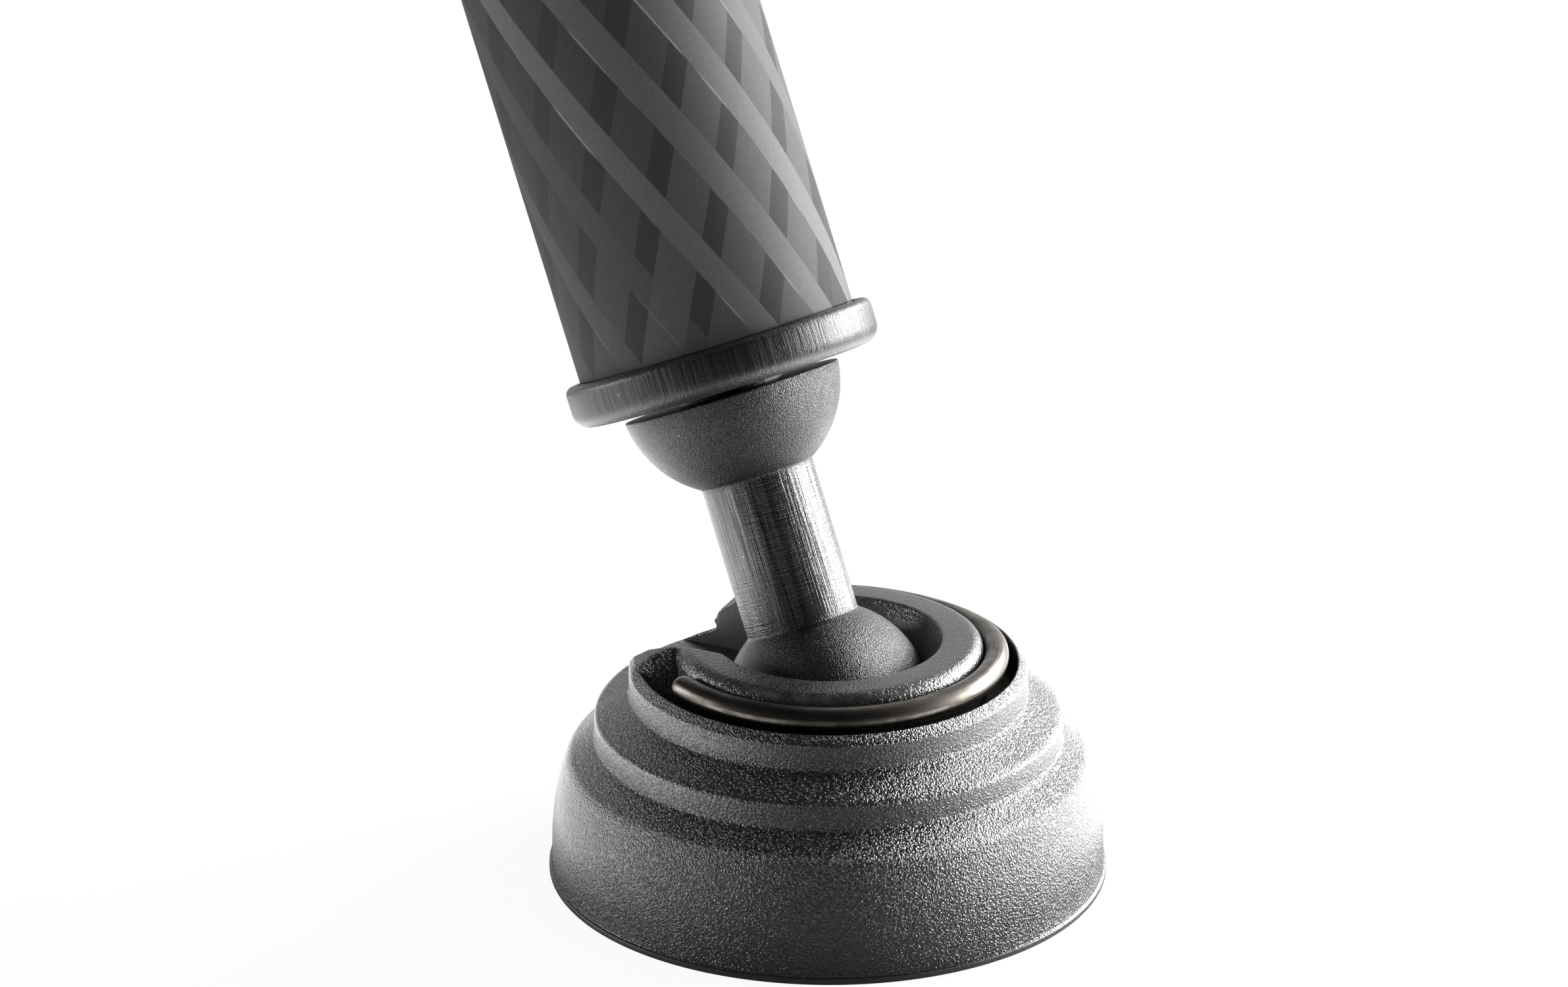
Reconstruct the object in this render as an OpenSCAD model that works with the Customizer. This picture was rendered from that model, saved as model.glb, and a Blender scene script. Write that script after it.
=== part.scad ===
// Telescopic camera monopod: four carbon tubes, three twist locks, a camera
// plate on top and a rubber ball foot below.
// Origin: middle of the sole on the floor. +Z is up, the leg leans towards -X.

/* [Pose] */
// Lean of the leg away from upright, degrees
lean = 24.5; // [0:0.5:29]
// Turn of the foot's slot away from the lean direction, degrees
slot_turn = 18; // [-40:1:40]
// Length of tube 4 drawn out beyond the closed pose
draw_4 = 60; // [45:1:300]
// Length of tube 3 drawn out beyond the closed pose
draw_3 = 0; // [0:1:250]
// Length of tube 2 drawn out beyond the closed pose
draw_2 = 0; // [0:1:200]

/* [Fits] */
// Radial gap between the ball and its socket
ball_gap = 0.08; // [0.05:0.01:0.1]
// Gap round a piece that slides or turns in another
slide_gap = 0.1; // [0.06:0.01:0.15]
// Radial gap at a bonded or threaded joint
bond_gap = 0.04; // [0.02:0.01:0.08]
// Clearance between pieces that pass each other
pass_gap = 0.4; // [0.3:0.05:0.8]

/* [Ball joint] */
// Ball diameter
ball_d = 18.4; // [17:0.1:21]
// Rod diameter
rod_d = 10.2; // [8.5:0.1:11]
// Largest lean the socket allows, degrees
max_lean = 30; // [29.5:0.5:34]
// Ball centre to the flat top of the dome
stud_l = 29.2; // [26:0.1:36]
// Dome diameter
dome_d = 19.8; // [18:0.1:24]
// Height of the dome's centre above its flat
dome_cut = 0.8; // [0:0.1:2]
// Foot screw diameter
screw_d = 9.525; // [8:0.005:10]
// Depth of the screw's hole in the dome
screw_hole = 9; // [6:0.1:11]

/* [Foot] */
// Rubber under the seat
sole_t = 3.4; // [2.5:0.1:5]
// Floor thickness of the seat
seat_t = 2.6; // [1.5:0.1:4]
// Wall of the seat outside the ball
seat_wall = 1.6; // [1:0.1:3]
// Depth of the seat's rim below the ball centre
seat_drop = 5; // [3.5:0.1:6]
// Height of the collar above the ball centre
collar_up = 6.7; // [6:0.1:8]
// Wall of the collar at its mouth
collar_t = 3.6; // [2.5:0.1:5]
// Rounding of the collar's outer edge
collar_round = 1.5; // [0.8:0.1:1.9]
// Height of the rim above the ball centre
rim_up = 4.65; // [4.2:0.05:5.4]
// Wall of the rim at its top
rim_t = 0.9; // [0.7:0.05:1.5]
// Fall of the rim's top face
rim_fall = 0.95; // [0.4:0.05:1.4]
// Height of the rim's outer wall
rim_h = 2.25; // [1.6:0.05:3]
// Depth of the groove below the rim
groove_depth = 4; // [2.5:0.1:5]
// Half angle of the stretch without a groove, degrees
groove_end = 40; // [33:1:44]
// Width of the hump that closes the groove, from the collar to its crest
hump_w = 1.6; // [1:0.1:2]
// Drop of the hump's crest below the collar's top
hump_drop = 0.65; // [0.4:0.05:1]
// Width of the slot
slot_w = 15.6; // [12:0.1:17]
// Depth of the slot's floor below the ball centre
slot_drop = 0.2; // [-1:0.1:2]
// Width of the upper ledge
ledge_2_w = 3.1; // [2:0.1:4.5]
// Fall of the upper ledge
ledge_2_fall = 2; // [1:0.1:3]
// Height of the wall under the upper ledge
wall_2_h = 2.2; // [1.4:0.1:3]
// Width of the lower ledge
ledge_3_w = 2.4; // [1.5:0.1:4]
// Fall of the lower ledge
ledge_3_fall = 1.7; // [1:0.1:2.5]
// Swell of the skirt below the lower ledge
skirt_swell = 1.5; // [0.5:0.1:3]
// Height of the skirt's straight foot
skirt_flat = 2; // [1:0.1:4]
// Overhang of the sole's edge
sole_lip = 0.3; // [0.1:0.05:0.8]
// Height of the sole's edge
sole_lip_h = 0.6; // [0.3:0.05:1.2]

/* [Spring ring] */
// Wire diameter
wire_d = 2.2; // [1.6:0.1:2.8]
// Height of the wire above the ball centre
wire_up = 5.15; // [4.8:0.05:5.6]
// Gap between the wire and the rim
wire_gap = 0.8; // [0.4:0.05:1.2]
// Half angle of the ring's opening, degrees
wire_open = 59; // [48:1:80]

/* [End collar] */
// Gap between the dome and the end collar
dome_gap = 0.6; // [0.4:0.05:1.5]
// Height of the end collar's flange
flange_h = 3.9; // [3:0.1:8]
// Overhang of the flange past the tube
flange_lip = 1.5; // [1:0.1:3]
// Rounding of the flange's lower edge
flange_round = 1.5; // [0.4:0.1:2]
// Length of the spigot in the tube
spigot_l = 18; // [12:0.5:30]

/* [Tubes] */
// Outer diameter of the smallest tube
tube_d = 25.2; // [23:0.1:30]
// Wall of every tube
tube_wall = 1.4; // [1:0.05:2]
// Length of the largest tube
tube_1_l = 392; // [300:1:520]
// Thickness of the guide sleeves
bush_t = 0.5; // [0.4:0.05:1.2]
// Length of the guide sleeves
bush_l = 30; // [15:1:45]

/* [Twist locks] */
// Gap between stacked locks when closed
stack_gap = 1.5; // [0.5:0.1:4]
// Length of a ferrule above the tube's end
ferrule_up = 20; // [17:0.5:30]
// Length of a ferrule below the tube's end
skirt_l = 9; // [6:0.5:11]
// Wall of a ferrule
ferrule_t = 1.6; // [1.2:0.1:3]
// Wall of a collet
collet_t = 1.2; // [0.8:0.1:1.5]
// Overhang of a collet's cone
cone_t = 0.8; // [0.4:0.1:1.3]
// Width of a collet's split
split_w = 1.4; // [0.8:0.1:3]
// Height of a lock ring above the tube's end
ring_up = 12; // [8:0.5:16]
// Depth of a lock ring below the tube's end
ring_down = 18; // [16:0.5:26]
// Wall of a lock ring
ring_t = 1.6; // [1.2:0.1:3]
// Height of a lock ring's lip
lip_t = 3; // [2.4:0.1:4]
// Depth of the seal's groove
seal_w = 1.2; // [0.8:0.1:2]
// Land beside the seal's groove
seal_land = 0.7; // [0.5:0.1:0.9]
// Thickness of a lock's rubber grip
lock_grip_t = 1.5; // [1:0.1:2.5]
// Land at both ends of a lock's rubber grip
grip_land = 1.5; // [0.8:0.1:3]
// Number of flutes round a lock
flute_n = 18; // [12:1:26]
// Radius of a flute
flute_r = 2.2; // [1.5:0.1:3]
// Depth of a flute
flute_cut = 0.8; // [0.3:0.1:0.9]

/* [Hand grip] */
// Length of the hand grip
grip_l = 150; // [90:1:180]
// Thickness of the hand grip
grip_t = 3.2; // [2:0.1:5]
// Gap between the hand grip and the head
grip_gap = 1; // [0.5:0.1:6]
// Spacing of the grip's grooves
grip_pitch = 10; // [8:0.5:15]
// Depth of the grip's grooves
grip_cut = 0.9; // [0.4:0.1:1.2]
// Height of the trim ring under the grip
trim_h = 6; // [3:0.5:10]
// Overhang of the trim ring past the grip
trim_lip = 0.4; // [0:0.1:1.5]
// Rounding of the trim ring's lower edge
trim_round = 2; // [0.5:0.1:2.5]

/* [Head] */
// Length of the head's spigot in the tube
head_spigot_l = 30; // [20:1:50]
// Free space under the head's spigot when closed
head_clear = 4; // [2:0.5:10]
// Height of the head's shoulder
shoulder_h = 7; // [4:0.5:14]
// Radius of the head's neck
neck_r = 15; // [14.6:0.1:17]
// Thickness of the strap ring
strap_t = 2.4; // [1.6:0.1:4]
// Width of the strap ring
strap_w = 4.5; // [3:0.1:6]
// Diameter of the strap eye
eye_d = 5.2; // [4:0.1:7]
// Wall round the strap eye
eye_wall = 3; // [2:0.1:4]
// Plate diameter
plate_d = 58; // [54:0.5:75]
// Plate thickness
plate_h = 7; // [5:0.5:12]
// Number of flutes round the plate
plate_flutes = 24; // [12:1:36]
// Thickness of the pad
pad_t = 1.5; // [1:0.1:3]
// Bare edge of the plate round the pad
pad_edge = 2.5; // [1.5:0.1:5]
// Length of the camera screw above the pad
camera_screw_l = 10; // [6:0.5:14]
// Diameter of the camera screw
camera_screw_d = 9.525; // [6:0.005:10]
// Relief of the camera screw below its thread
screw_relief = 0.4; // [0.2:0.05:0.8]
// Diameter of the screw's reversed end
small_screw_d = 6.35; // [5:0.05:7]
// Length of the screw's reversed end
small_screw_l = 12; // [8:0.5:16]
// Radius of the screw's flange
collar_screw_r = 8.5; // [7:0.1:9]
// Thickness of the screw's flange
collar_screw_h = 2; // [1.5:0.1:3]
// Number of plate screws
plate_screw_n = 3; // [3:1:4]
// Turn of the first plate screw away from the lean direction, degrees
plate_screw_turn = 60; // [0:5:90]
// Diameter of the plate screws
plate_screw_d = 3; // [2.5:0.1:3.5]
// Depth of the plate screws in the head
plate_screw_l = 6; // [4:0.5:9]

/* [Hidden] */
$fn = 72;
over = 1;
corner_steps = 5;
skirt_steps = 8;
fine_round = 0.3;
edge_round = 0.7;

ball_r = ball_d / 2;
rod_r = rod_d / 2;
screw_r = screw_d / 2;
wire_r = wire_d / 2;
socket_r = ball_r + ball_gap;
ball_z = sole_t + slide_gap + seat_t + ball_gap + ball_r;

// The mouth is a cone that clears the rod at its largest lean, all the way round.
rod_reach = rod_r / cos(max_lean) + pass_gap;
mouth_r = collar_up * tan(max_lean) + rod_reach;

collar_r = mouth_r + collar_t;
wire_c = collar_r + bond_gap + wire_r;
rim_in = wire_c + wire_r + wire_gap;
rim_r = rim_in + rim_t;
wall_2_r = rim_r + ledge_2_w;
shoulder_r = wall_2_r + ledge_3_w;
skirt_r = shoulder_r + skirt_swell;
foot_r = skirt_r + sole_lip;

collar_z = ball_z + collar_up;
rim_z = ball_z + rim_up;
groove_z = rim_z - groove_depth;
rim_out_z = rim_z - rim_fall;
ledge_2_z = rim_out_z - rim_h;
wall_2_top = ledge_2_z - ledge_2_fall;
ledge_3_z = wall_2_top - wall_2_h;
shoulder_z = ledge_3_z - ledge_3_fall;
skirt_z = sole_lip_h + skirt_flat;
skirt_rise = shoulder_z - skirt_z;
skirt_curve = (skirt_swell * skirt_swell + skirt_rise * skirt_rise) / (2 * skirt_swell);
skirt_angle = asin(skirt_rise / skirt_curve);
slot_dir = 180 + slot_turn;
seat_r = ball_r + seat_wall;
seat_top = ball_z - seat_drop;

// Along the leg, from the ball centre.
flange_s = stud_l + dome_gap;
tube_4_s = flange_s + flange_h;
tube_step = tube_wall + bush_t + slide_gap;
lock_pitch = ferrule_up + stack_gap + ring_down;
tube_3_s = tube_4_s + stack_gap + ring_down + draw_4;
tube_2_s = tube_3_s + lock_pitch + draw_3;
tube_1_s = tube_2_s + lock_pitch + draw_2;
tube_2_l = tube_1_l - head_spigot_l - head_clear + lock_pitch;
tube_3_l = tube_2_l + lock_pitch;
tube_4_l = tube_3_l + stack_gap + ring_down;
head_s = tube_1_s + tube_1_l;
neck_h = strap_t + 2 * pass_gap;
plate_z = shoulder_h + neck_h;
pad_z = plate_z + plate_h;
plate_r = plate_d / 2;
plate_screw_c = (collar_screw_r + neck_r) / 2 + bond_gap;
plate_screw_r = plate_screw_d / 2;
shoulder_out = tube_r(1) + grip_t + trim_lip;
eye_x = plate_r + eye_d / 2 + over;

function tube_r(k) = tube_d / 2 + (4 - k) * tube_step;
function tube_in(k) = tube_r(k) - tube_wall;
function tube_s(k) = [tube_1_s, tube_2_s, tube_3_s, tube_4_s][k - 1];
function tube_l(k) = [tube_1_l, tube_2_l, tube_3_l, tube_4_l][k - 1];
function collet_out(k) = tube_r(k + 1) + slide_gap + collet_t;
function ferrule_out(k) = tube_r(k) + ferrule_t;
function ring_in(k) = ferrule_out(k) + slide_gap;
function ring_out(k) = ring_in(k) + ring_t;
function lip_in(k) = tube_r(k + 1) + pass_gap;

// Points [x, y, radius] to an outline whose corners are rounded by their radius.
function unit(v) = v / norm(v);
function xy(p) = [p[0], p[1]];
function turn_by(d) = d > 180 ? d - 360 : (d < -180 ? d + 360 : d);
function corner(a, b, c, r) =
    let (u = unit(a - b), v = unit(c - b), half = acos(u * v) / 2)
    let (m = b + unit(u + v) * r / sin(half))
    let (p = b + u * r / tan(half) - m, q = b + v * r / tan(half) - m)
    let (a0 = atan2(p[1], p[0]), da = turn_by(atan2(q[1], q[0]) - a0))
    [for (i = [0:corner_steps]) m + r * [cos(a0 + da * i / corner_steps), sin(a0 + da * i / corner_steps)]];
function rounded(pts) =
    let (n = len(pts))
    [for (i = [0:n - 1]) each pts[i][2] == 0
        ? [xy(pts[i])]
        : corner(xy(pts[(i + n - 1) % n]), xy(pts[i]), xy(pts[(i + 1) % n]), pts[i][2])];

module lathe(pts) {
    rotate_extrude() polygon(rounded(pts));
}

module on_leg() {
    translate([0, 0, ball_z]) rotate([0, -lean, 0]) children();
}

module at_tube(k) {
    on_leg() translate([0, 0, tube_s(k)]) children();
}

module at_head() {
    on_leg() translate([0, 0, head_s]) children();
}

module foot_solid() {
    skirt = [for (i = [0:skirt_steps - 1])
        [skirt_r - skirt_curve + skirt_curve * cos(skirt_angle * i / skirt_steps),
         skirt_z + skirt_curve * sin(skirt_angle * i / skirt_steps), 0]];
    lathe(concat(
        [[0, 0, 0], [foot_r, 0, 0], [foot_r, sole_lip_h, 0], [skirt_r, sole_lip_h, 0]],
        skirt,
        [[shoulder_r, shoulder_z, edge_round], [wall_2_r, ledge_3_z, fine_round],
         [wall_2_r, wall_2_top, edge_round], [rim_r, ledge_2_z, fine_round],
         [rim_r, rim_out_z, fine_round], [rim_in, rim_z, 0], [rim_in, groove_z, edge_round],
         [collar_r, groove_z, edge_round], [collar_r, collar_z, collar_round],
         [mouth_r, collar_z, fine_round], [rod_reach, ball_z, 0], [0, ball_z, 0]]));
}

// Closes the groove beside the slot with a hump, from the rim up to the collar.
module groove_bridge() {
    inner = collar_r - collar_round / 2;
    outer = rim_in + rim_t / 2;
    low = groove_z - edge_round;
    rotate([0, 0, slot_dir - groove_end]) rotate_extrude(angle = 2 * groove_end)
        polygon([[inner, low], [outer, low], [outer, rim_z - rim_fall],
            [collar_r + hump_w, collar_z - hump_drop], [inner, collar_z - hump_drop / 3]]);
}

module foot_body() {
    color("#2b2b2d") difference() {
        union() {
            foot_solid();
            groove_bridge();
        }
        translate([0, 0, ball_z]) sphere(r = socket_r);
        translate([0, 0, sole_t]) cylinder(r = seat_r + slide_gap, h = seat_top + slide_gap - sole_t);
        rotate([0, 0, slot_dir]) translate([0, -slot_w / 2, ball_z - slot_drop])
            cube([foot_r, slot_w, collar_z]);
    }
}

module spring_ring() {
    color("#a89c8c") translate([0, 0, ball_z + wire_up]) rotate([0, 0, slot_dir + wire_open]) {
        rotate_extrude(angle = 360 - 2 * wire_open) translate([wire_c, 0]) circle(r = wire_r);
        for (end = [0, -2 * wire_open])
            rotate([0, 0, end]) translate([wire_c, 0, 0]) sphere(r = wire_r - bond_gap);
    }
}

module ball_seat() {
    color("#d8d4c8") difference() {
        translate([0, 0, sole_t + slide_gap]) cylinder(r = seat_r, h = seat_top - sole_t - slide_gap);
        translate([0, 0, ball_z]) sphere(r = socket_r);
    }
}

module ball_stud() {
    color("#3a3a3c") on_leg() difference() {
        union() {
            sphere(r = ball_r);
            cylinder(r = rod_r, h = stud_l);
            intersection() {
                translate([0, 0, stud_l + dome_cut]) sphere(r = dome_d / 2);
                cylinder(r = dome_d, h = stud_l);
            }
        }
        translate([0, 0, stud_l - screw_hole]) cylinder(r = screw_r + bond_gap, h = screw_hole + over);
    }
}

module foot_screw() {
    low = stud_l - screw_hole + slide_gap;
    color("#8a8a8c") on_leg() translate([0, 0, low]) cylinder(r = screw_r, h = tube_4_s + spigot_l - low);
}

module end_collar() {
    bore = screw_r + bond_gap;
    wide = tube_r(4) + flange_lip;
    plug = tube_in(4) - bond_gap;
    color("#29292b") on_leg() lathe([[bore, flange_s, 0], [wide, flange_s, flange_round],
        [wide, tube_4_s, fine_round], [plug, tube_4_s, 0],
        [plug, tube_4_s + spigot_l, edge_round], [bore, tube_4_s + spigot_l, 0]]);
}

module tube(k) {
    color("#4a4a4e") at_tube(k) difference() {
        cylinder(r = tube_r(k), h = tube_l(k));
        translate([0, 0, -over]) cylinder(r = tube_in(k), h = tube_l(k) + 2 * over);
    }
}

module guide_sleeve(k) {
    color("#c9c4b6") at_tube(k) translate([0, 0, tube_l(k) - bush_l]) difference() {
        cylinder(r = tube_r(k) + bush_t, h = bush_l);
        translate([0, 0, -over]) cylinder(r = tube_r(k) + bond_gap, h = bush_l + 2 * over);
    }
}

module ferrule(k) {
    hold = collet_out(k) + bond_gap;
    bore = tube_r(k) + bond_gap;
    out = ferrule_out(k);
    color("#2e2e30") at_tube(k) lathe([[hold, -skirt_l, 0], [out, -skirt_l, 0],
        [out, ferrule_up, edge_round], [bore, ferrule_up, 0], [bore, 0, 0], [hold, 0, 0]]);
}

module collet(k) {
    low = lip_t + pass_gap - ring_down;
    foot = tube_r(k + 1) + slide_gap;
    out = collet_out(k);
    wide = out + cone_t;
    color("#c9c4b6") at_tube(k) difference() {
        lathe([[foot, low, 0], [wide, low, 0], [wide, low + cone_t, 0],
            [out, -skirt_l - slide_gap, 0], [out, -slide_gap, 0], [foot, -slide_gap, 0]]);
        translate([0, -split_w / 2, -ring_down]) cube([wide + over, split_w, ring_down]);
    }
}

module lock_ring(k) {
    low = -ring_down;
    bore = ring_in(k);
    out = ring_out(k);
    lip = lip_in(k);
    color("#2e2e30") at_tube(k) lathe([[lip, low, 0], [out, low, edge_round], [out, ring_up, edge_round],
        [bore, ring_up, 0], [bore, low + lip_t, 0], [lip, low + lip_t, 0],
        [lip, low + lip_t - seal_land, 0], [lip + seal_w, low + lip_t - seal_land, 0],
        [lip + seal_w, low + seal_land, 0], [lip, low + seal_land, 0]]);
}

module fluted(r, n, cut, round_r) {
    difference() {
        circle(r = r);
        for (i = [0:n - 1]) rotate(i * 360 / n) translate([r + round_r - cut, 0]) circle(r = round_r);
    }
}

module chamfered(r, low, high) {
    lathe([[0, low, 0], [r - edge_round, low, 0], [r, low + edge_round, 0],
        [r, high - edge_round, 0], [r - edge_round, high, 0], [0, high, 0]]);
}

module lock_grip(k) {
    low = grip_land - ring_down;
    high = ring_up - grip_land;
    inner = ring_out(k) + bond_gap;
    outer = ring_out(k) + lock_grip_t;
    color("#1f1f21") at_tube(k) difference() {
        intersection() {
            translate([0, 0, low]) linear_extrude(high - low) fluted(outer, flute_n, flute_cut, flute_r);
            chamfered(outer, low, high);
        }
        translate([0, 0, low - over]) cylinder(r = inner, h = high - low + 2 * over);
    }
}

module dust_seal(k) {
    inner = tube_r(k + 1) + slide_gap;
    outer = lip_in(k) + seal_w - bond_gap;
    low = seal_land + bond_gap - ring_down;
    high = lip_t - seal_land - bond_gap - ring_down;
    color("#18181a") at_tube(k) lathe([[inner, low, 0], [outer, low, 0], [outer, high, 0], [inner, high, 0]]);
}

module hand_grip() {
    top = -grip_gap;
    low = top - grip_l;
    inner = tube_r(1) + bond_gap;
    outer = tube_r(1) + grip_t;
    count = floor(grip_l / grip_pitch) - 1;
    first = low + (grip_l - (count - 1) * grip_pitch) / 2;
    grooves = [for (i = [0:count - 1]) each
        [[outer, first + i * grip_pitch - grip_cut, 0], [outer - grip_cut, first + i * grip_pitch, 0],
         [outer, first + i * grip_pitch + grip_cut, 0]]];
    color("#232325") at_head() lathe(concat([[inner, low, 0], [outer, low, edge_round]], grooves,
        [[outer, top, edge_round], [inner, top, 0]]));
}

module grip_trim_ring() {
    high = -grip_gap - grip_l - bond_gap;
    inner = tube_r(1) + bond_gap;
    outer = tube_r(1) + grip_t + trim_lip;
    color("#2e2e30") at_head() lathe([[inner, high - trim_h, 0], [outer, high - trim_h, trim_round],
        [outer, high, fine_round], [inner, high, 0]]);
}

module plate_screw_holes(r, low, high) {
    for (i = [0:plate_screw_n - 1]) rotate([0, 0, plate_screw_turn + i * 360 / plate_screw_n])
        translate([plate_screw_c, 0, low]) cylinder(r = r, h = high - low);
}

module head_casting() {
    way = small_screw_d / 2 + pass_gap;
    plug = tube_in(1) - bond_gap;
    seat = collar_screw_r + bond_gap;
    seat_z = plate_z - collar_screw_h - bond_gap;
    color("#2e2e30") at_head() difference() {
        lathe([[way, -head_spigot_l, 0], [plug, -head_spigot_l, edge_round], [plug, 0, 0],
            [shoulder_out, 0, fine_round], [shoulder_out, shoulder_h, edge_round], [neck_r, shoulder_h, 0],
            [neck_r, plate_z, 0], [seat, plate_z, 0], [seat, seat_z, 0], [way, seat_z, 0]]);
        plate_screw_holes(plate_screw_r + bond_gap, plate_z - plate_screw_l - over, plate_z + over);
    }
}

module strap_ring() {
    color("#77777b") at_head() translate([0, 0, shoulder_h + pass_gap]) linear_extrude(strap_t) difference() {
        union() {
            circle(r = neck_r + pass_gap + strap_w);
            translate([-eye_x, -eye_d / 2 - eye_wall]) square([eye_x, eye_d + 2 * eye_wall]);
            translate([-eye_x, 0]) circle(r = eye_d / 2 + eye_wall);
        }
        circle(r = neck_r + pass_gap);
        translate([-eye_x, 0]) circle(r = eye_d / 2);
    }
}

module camera_plate() {
    color("#2e2e30") at_head() difference() {
        intersection() {
            translate([0, 0, plate_z]) linear_extrude(plate_h)
                fluted(plate_r, plate_flutes, flute_cut, flute_r);
            chamfered(plate_r, plate_z, pad_z);
        }
        translate([0, 0, plate_z - over]) cylinder(r = camera_screw_d / 2 + bond_gap, h = plate_h + 2 * over);
        plate_screw_holes(plate_screw_r + bond_gap, plate_z - over, pad_z + over);
        plate_screw_holes(plate_screw_d + bond_gap, pad_z - plate_screw_d, pad_z + over);
    }
}

module plate_pad() {
    hole = camera_screw_d / 2 + pass_gap;
    outer = plate_r - pad_edge;
    color("#1c1c1e") at_head() lathe([[hole, pad_z, 0], [outer, pad_z, 0],
        [outer, pad_z + pad_t, fine_round], [hole, pad_z + pad_t, 0]]);
}

module camera_screw() {
    low = plate_z - collar_screw_h;
    thread = pad_z + pad_t;
    color("#b4b0a8") at_head() {
        translate([0, 0, low]) cylinder(r = camera_screw_d / 2 - screw_relief, h = thread - low + over);
        translate([0, 0, thread]) cylinder(r = camera_screw_d / 2, h = camera_screw_l);
        translate([0, 0, low]) cylinder(r = collar_screw_r, h = collar_screw_h - bond_gap);
        translate([0, 0, low - small_screw_l]) cylinder(r = small_screw_d / 2, h = small_screw_l + over);
    }
}

module plate_screws() {
    color("#8a8a8c") at_head() {
        plate_screw_holes(plate_screw_r, plate_z - plate_screw_l, pad_z - over);
        plate_screw_holes(plate_screw_d, pad_z - plate_screw_d + bond_gap, pad_z - bond_gap);
    }
}

foot_body();
spring_ring();
ball_seat();
ball_stud();
foot_screw();
end_collar();
tube(4);  // tube_4
tube(3);  // tube_3
tube(2);  // tube_2
tube(1);  // tube_1
guide_sleeve(4);  // guide_sleeve_4
guide_sleeve(3);  // guide_sleeve_3
guide_sleeve(2);  // guide_sleeve_2
ferrule(3);  // ferrule_3
ferrule(2);  // ferrule_2
ferrule(1);  // ferrule_1
collet(3);  // collet_3
collet(2);  // collet_2
collet(1);  // collet_1
lock_ring(3);  // lock_ring_3
lock_ring(2);  // lock_ring_2
lock_ring(1);  // lock_ring_1
lock_grip(3);  // lock_grip_3
lock_grip(2);  // lock_grip_2
lock_grip(1);  // lock_grip_1
dust_seal(3);  // dust_seal_3
dust_seal(2);  // dust_seal_2
dust_seal(1);  // dust_seal_1
hand_grip();
grip_trim_ring();
head_casting();
strap_ring();
camera_plate();
plate_pad();
camera_screw();
plate_screws();
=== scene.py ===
"""Looks of the camera monopod: carbon tubes, twist locks, hand grip, head and rubber ball foot."""

import math

import bmesh
import bpy
import numpy as np
from mathutils import Matrix, Vector


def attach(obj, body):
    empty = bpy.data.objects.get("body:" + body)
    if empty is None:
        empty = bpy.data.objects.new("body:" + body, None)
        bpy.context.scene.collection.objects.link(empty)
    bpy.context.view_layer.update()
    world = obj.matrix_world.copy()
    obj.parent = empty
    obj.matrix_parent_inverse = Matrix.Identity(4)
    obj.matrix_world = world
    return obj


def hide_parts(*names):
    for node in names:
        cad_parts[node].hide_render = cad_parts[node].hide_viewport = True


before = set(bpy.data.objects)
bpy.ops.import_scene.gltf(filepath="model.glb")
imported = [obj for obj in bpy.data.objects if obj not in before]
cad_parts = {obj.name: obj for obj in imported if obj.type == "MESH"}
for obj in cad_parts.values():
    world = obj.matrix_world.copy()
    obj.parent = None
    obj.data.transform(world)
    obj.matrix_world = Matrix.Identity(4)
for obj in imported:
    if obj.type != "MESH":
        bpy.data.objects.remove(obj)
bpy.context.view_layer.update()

# Sizes in millimetres, as in the part's source. S is the distance from the ball centre along the leg.
MM = 0.001
FULL_TURN = 2 * math.pi
LEAN = math.radians(24.5)
BALL_Z = 15.38
BALL_R = 9.2
ROD_R = 5.1
STUD_S = 29.2
DOME_R = 9.9
DOME_S = 30.0
SCREW_R = 4.7625
FLANGE_S = 29.8
FLANGE_R = 14.1
TUBE_R = {4: 12.6, 3: 14.6, 2: 16.6, 1: 18.6}
TUBE_S = {4: 33.7, 3: 113.2, 2: 152.7, 1: 192.2}
TUBE_L = {4: 456.5, 3: 437.0, 2: 397.5, 1: 392.0}
TUBE_WALL = 1.4
HEAD_S = 584.2
FIT = 0.04
WELD = 2e-4
SLOT_DIR = math.radians(198)

TO_METRES = Matrix.Scale(MM, 4)
ON_LEG = Matrix.Translation((0, 0, BALL_Z * MM)) @ Matrix.Rotation(-LEAN, 4, "Y") @ TO_METRES


# Meshes


def rounded(corners, closed, steps=5):
    """Corners (r, s, radius, zone) to rows (r, s, edge, zone); radius and zone are 0 where not given.

    The edge value is 1 in the middle of a convex rounding.
    """
    corners = [(*corner, 0, 0)[:4] for corner in corners]
    rows = []
    count = len(corners)
    for i, (r, s, radius, zone) in enumerate(corners):
        here = np.array((r, s), float)
        if radius == 0 or (not closed and i in (0, count - 1)):
            rows.append((r, s, 0.0, zone))
            continue
        before = np.array(corners[i - 1][:2], float) - here
        after = np.array(corners[(i + 1) % count][:2], float) - here
        before /= np.linalg.norm(before)
        after /= np.linalg.norm(after)
        half = math.acos(max(-1.0, min(1.0, float(before @ after)))) / 2
        middle = here + (before + after) / np.linalg.norm(before + after) * radius / math.sin(half)
        start = here + before * radius / math.tan(half) - middle
        end = here + after * radius / math.tan(half) - middle
        first = math.atan2(start[1], start[0])
        sweep = math.atan2(end[1], end[0]) - first
        sweep = (sweep + math.pi) % FULL_TURN - math.pi
        convex = 1.0 if before[0] * after[1] - before[1] * after[0] < 0 else 0.0
        for k in range(steps + 1):
            a = first + sweep * k / steps
            edge = convex * math.sin(math.pi * k / steps)
            rows.append((middle[0] + radius * math.cos(a), middle[1] + radius * math.sin(a), edge, zone))
    return np.array(rows)


def polar(r, angle, s):
    """Points at radius r and distance s along the axis."""
    return np.stack([r * np.cos(angle), r * np.sin(angle), s], -1)


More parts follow.
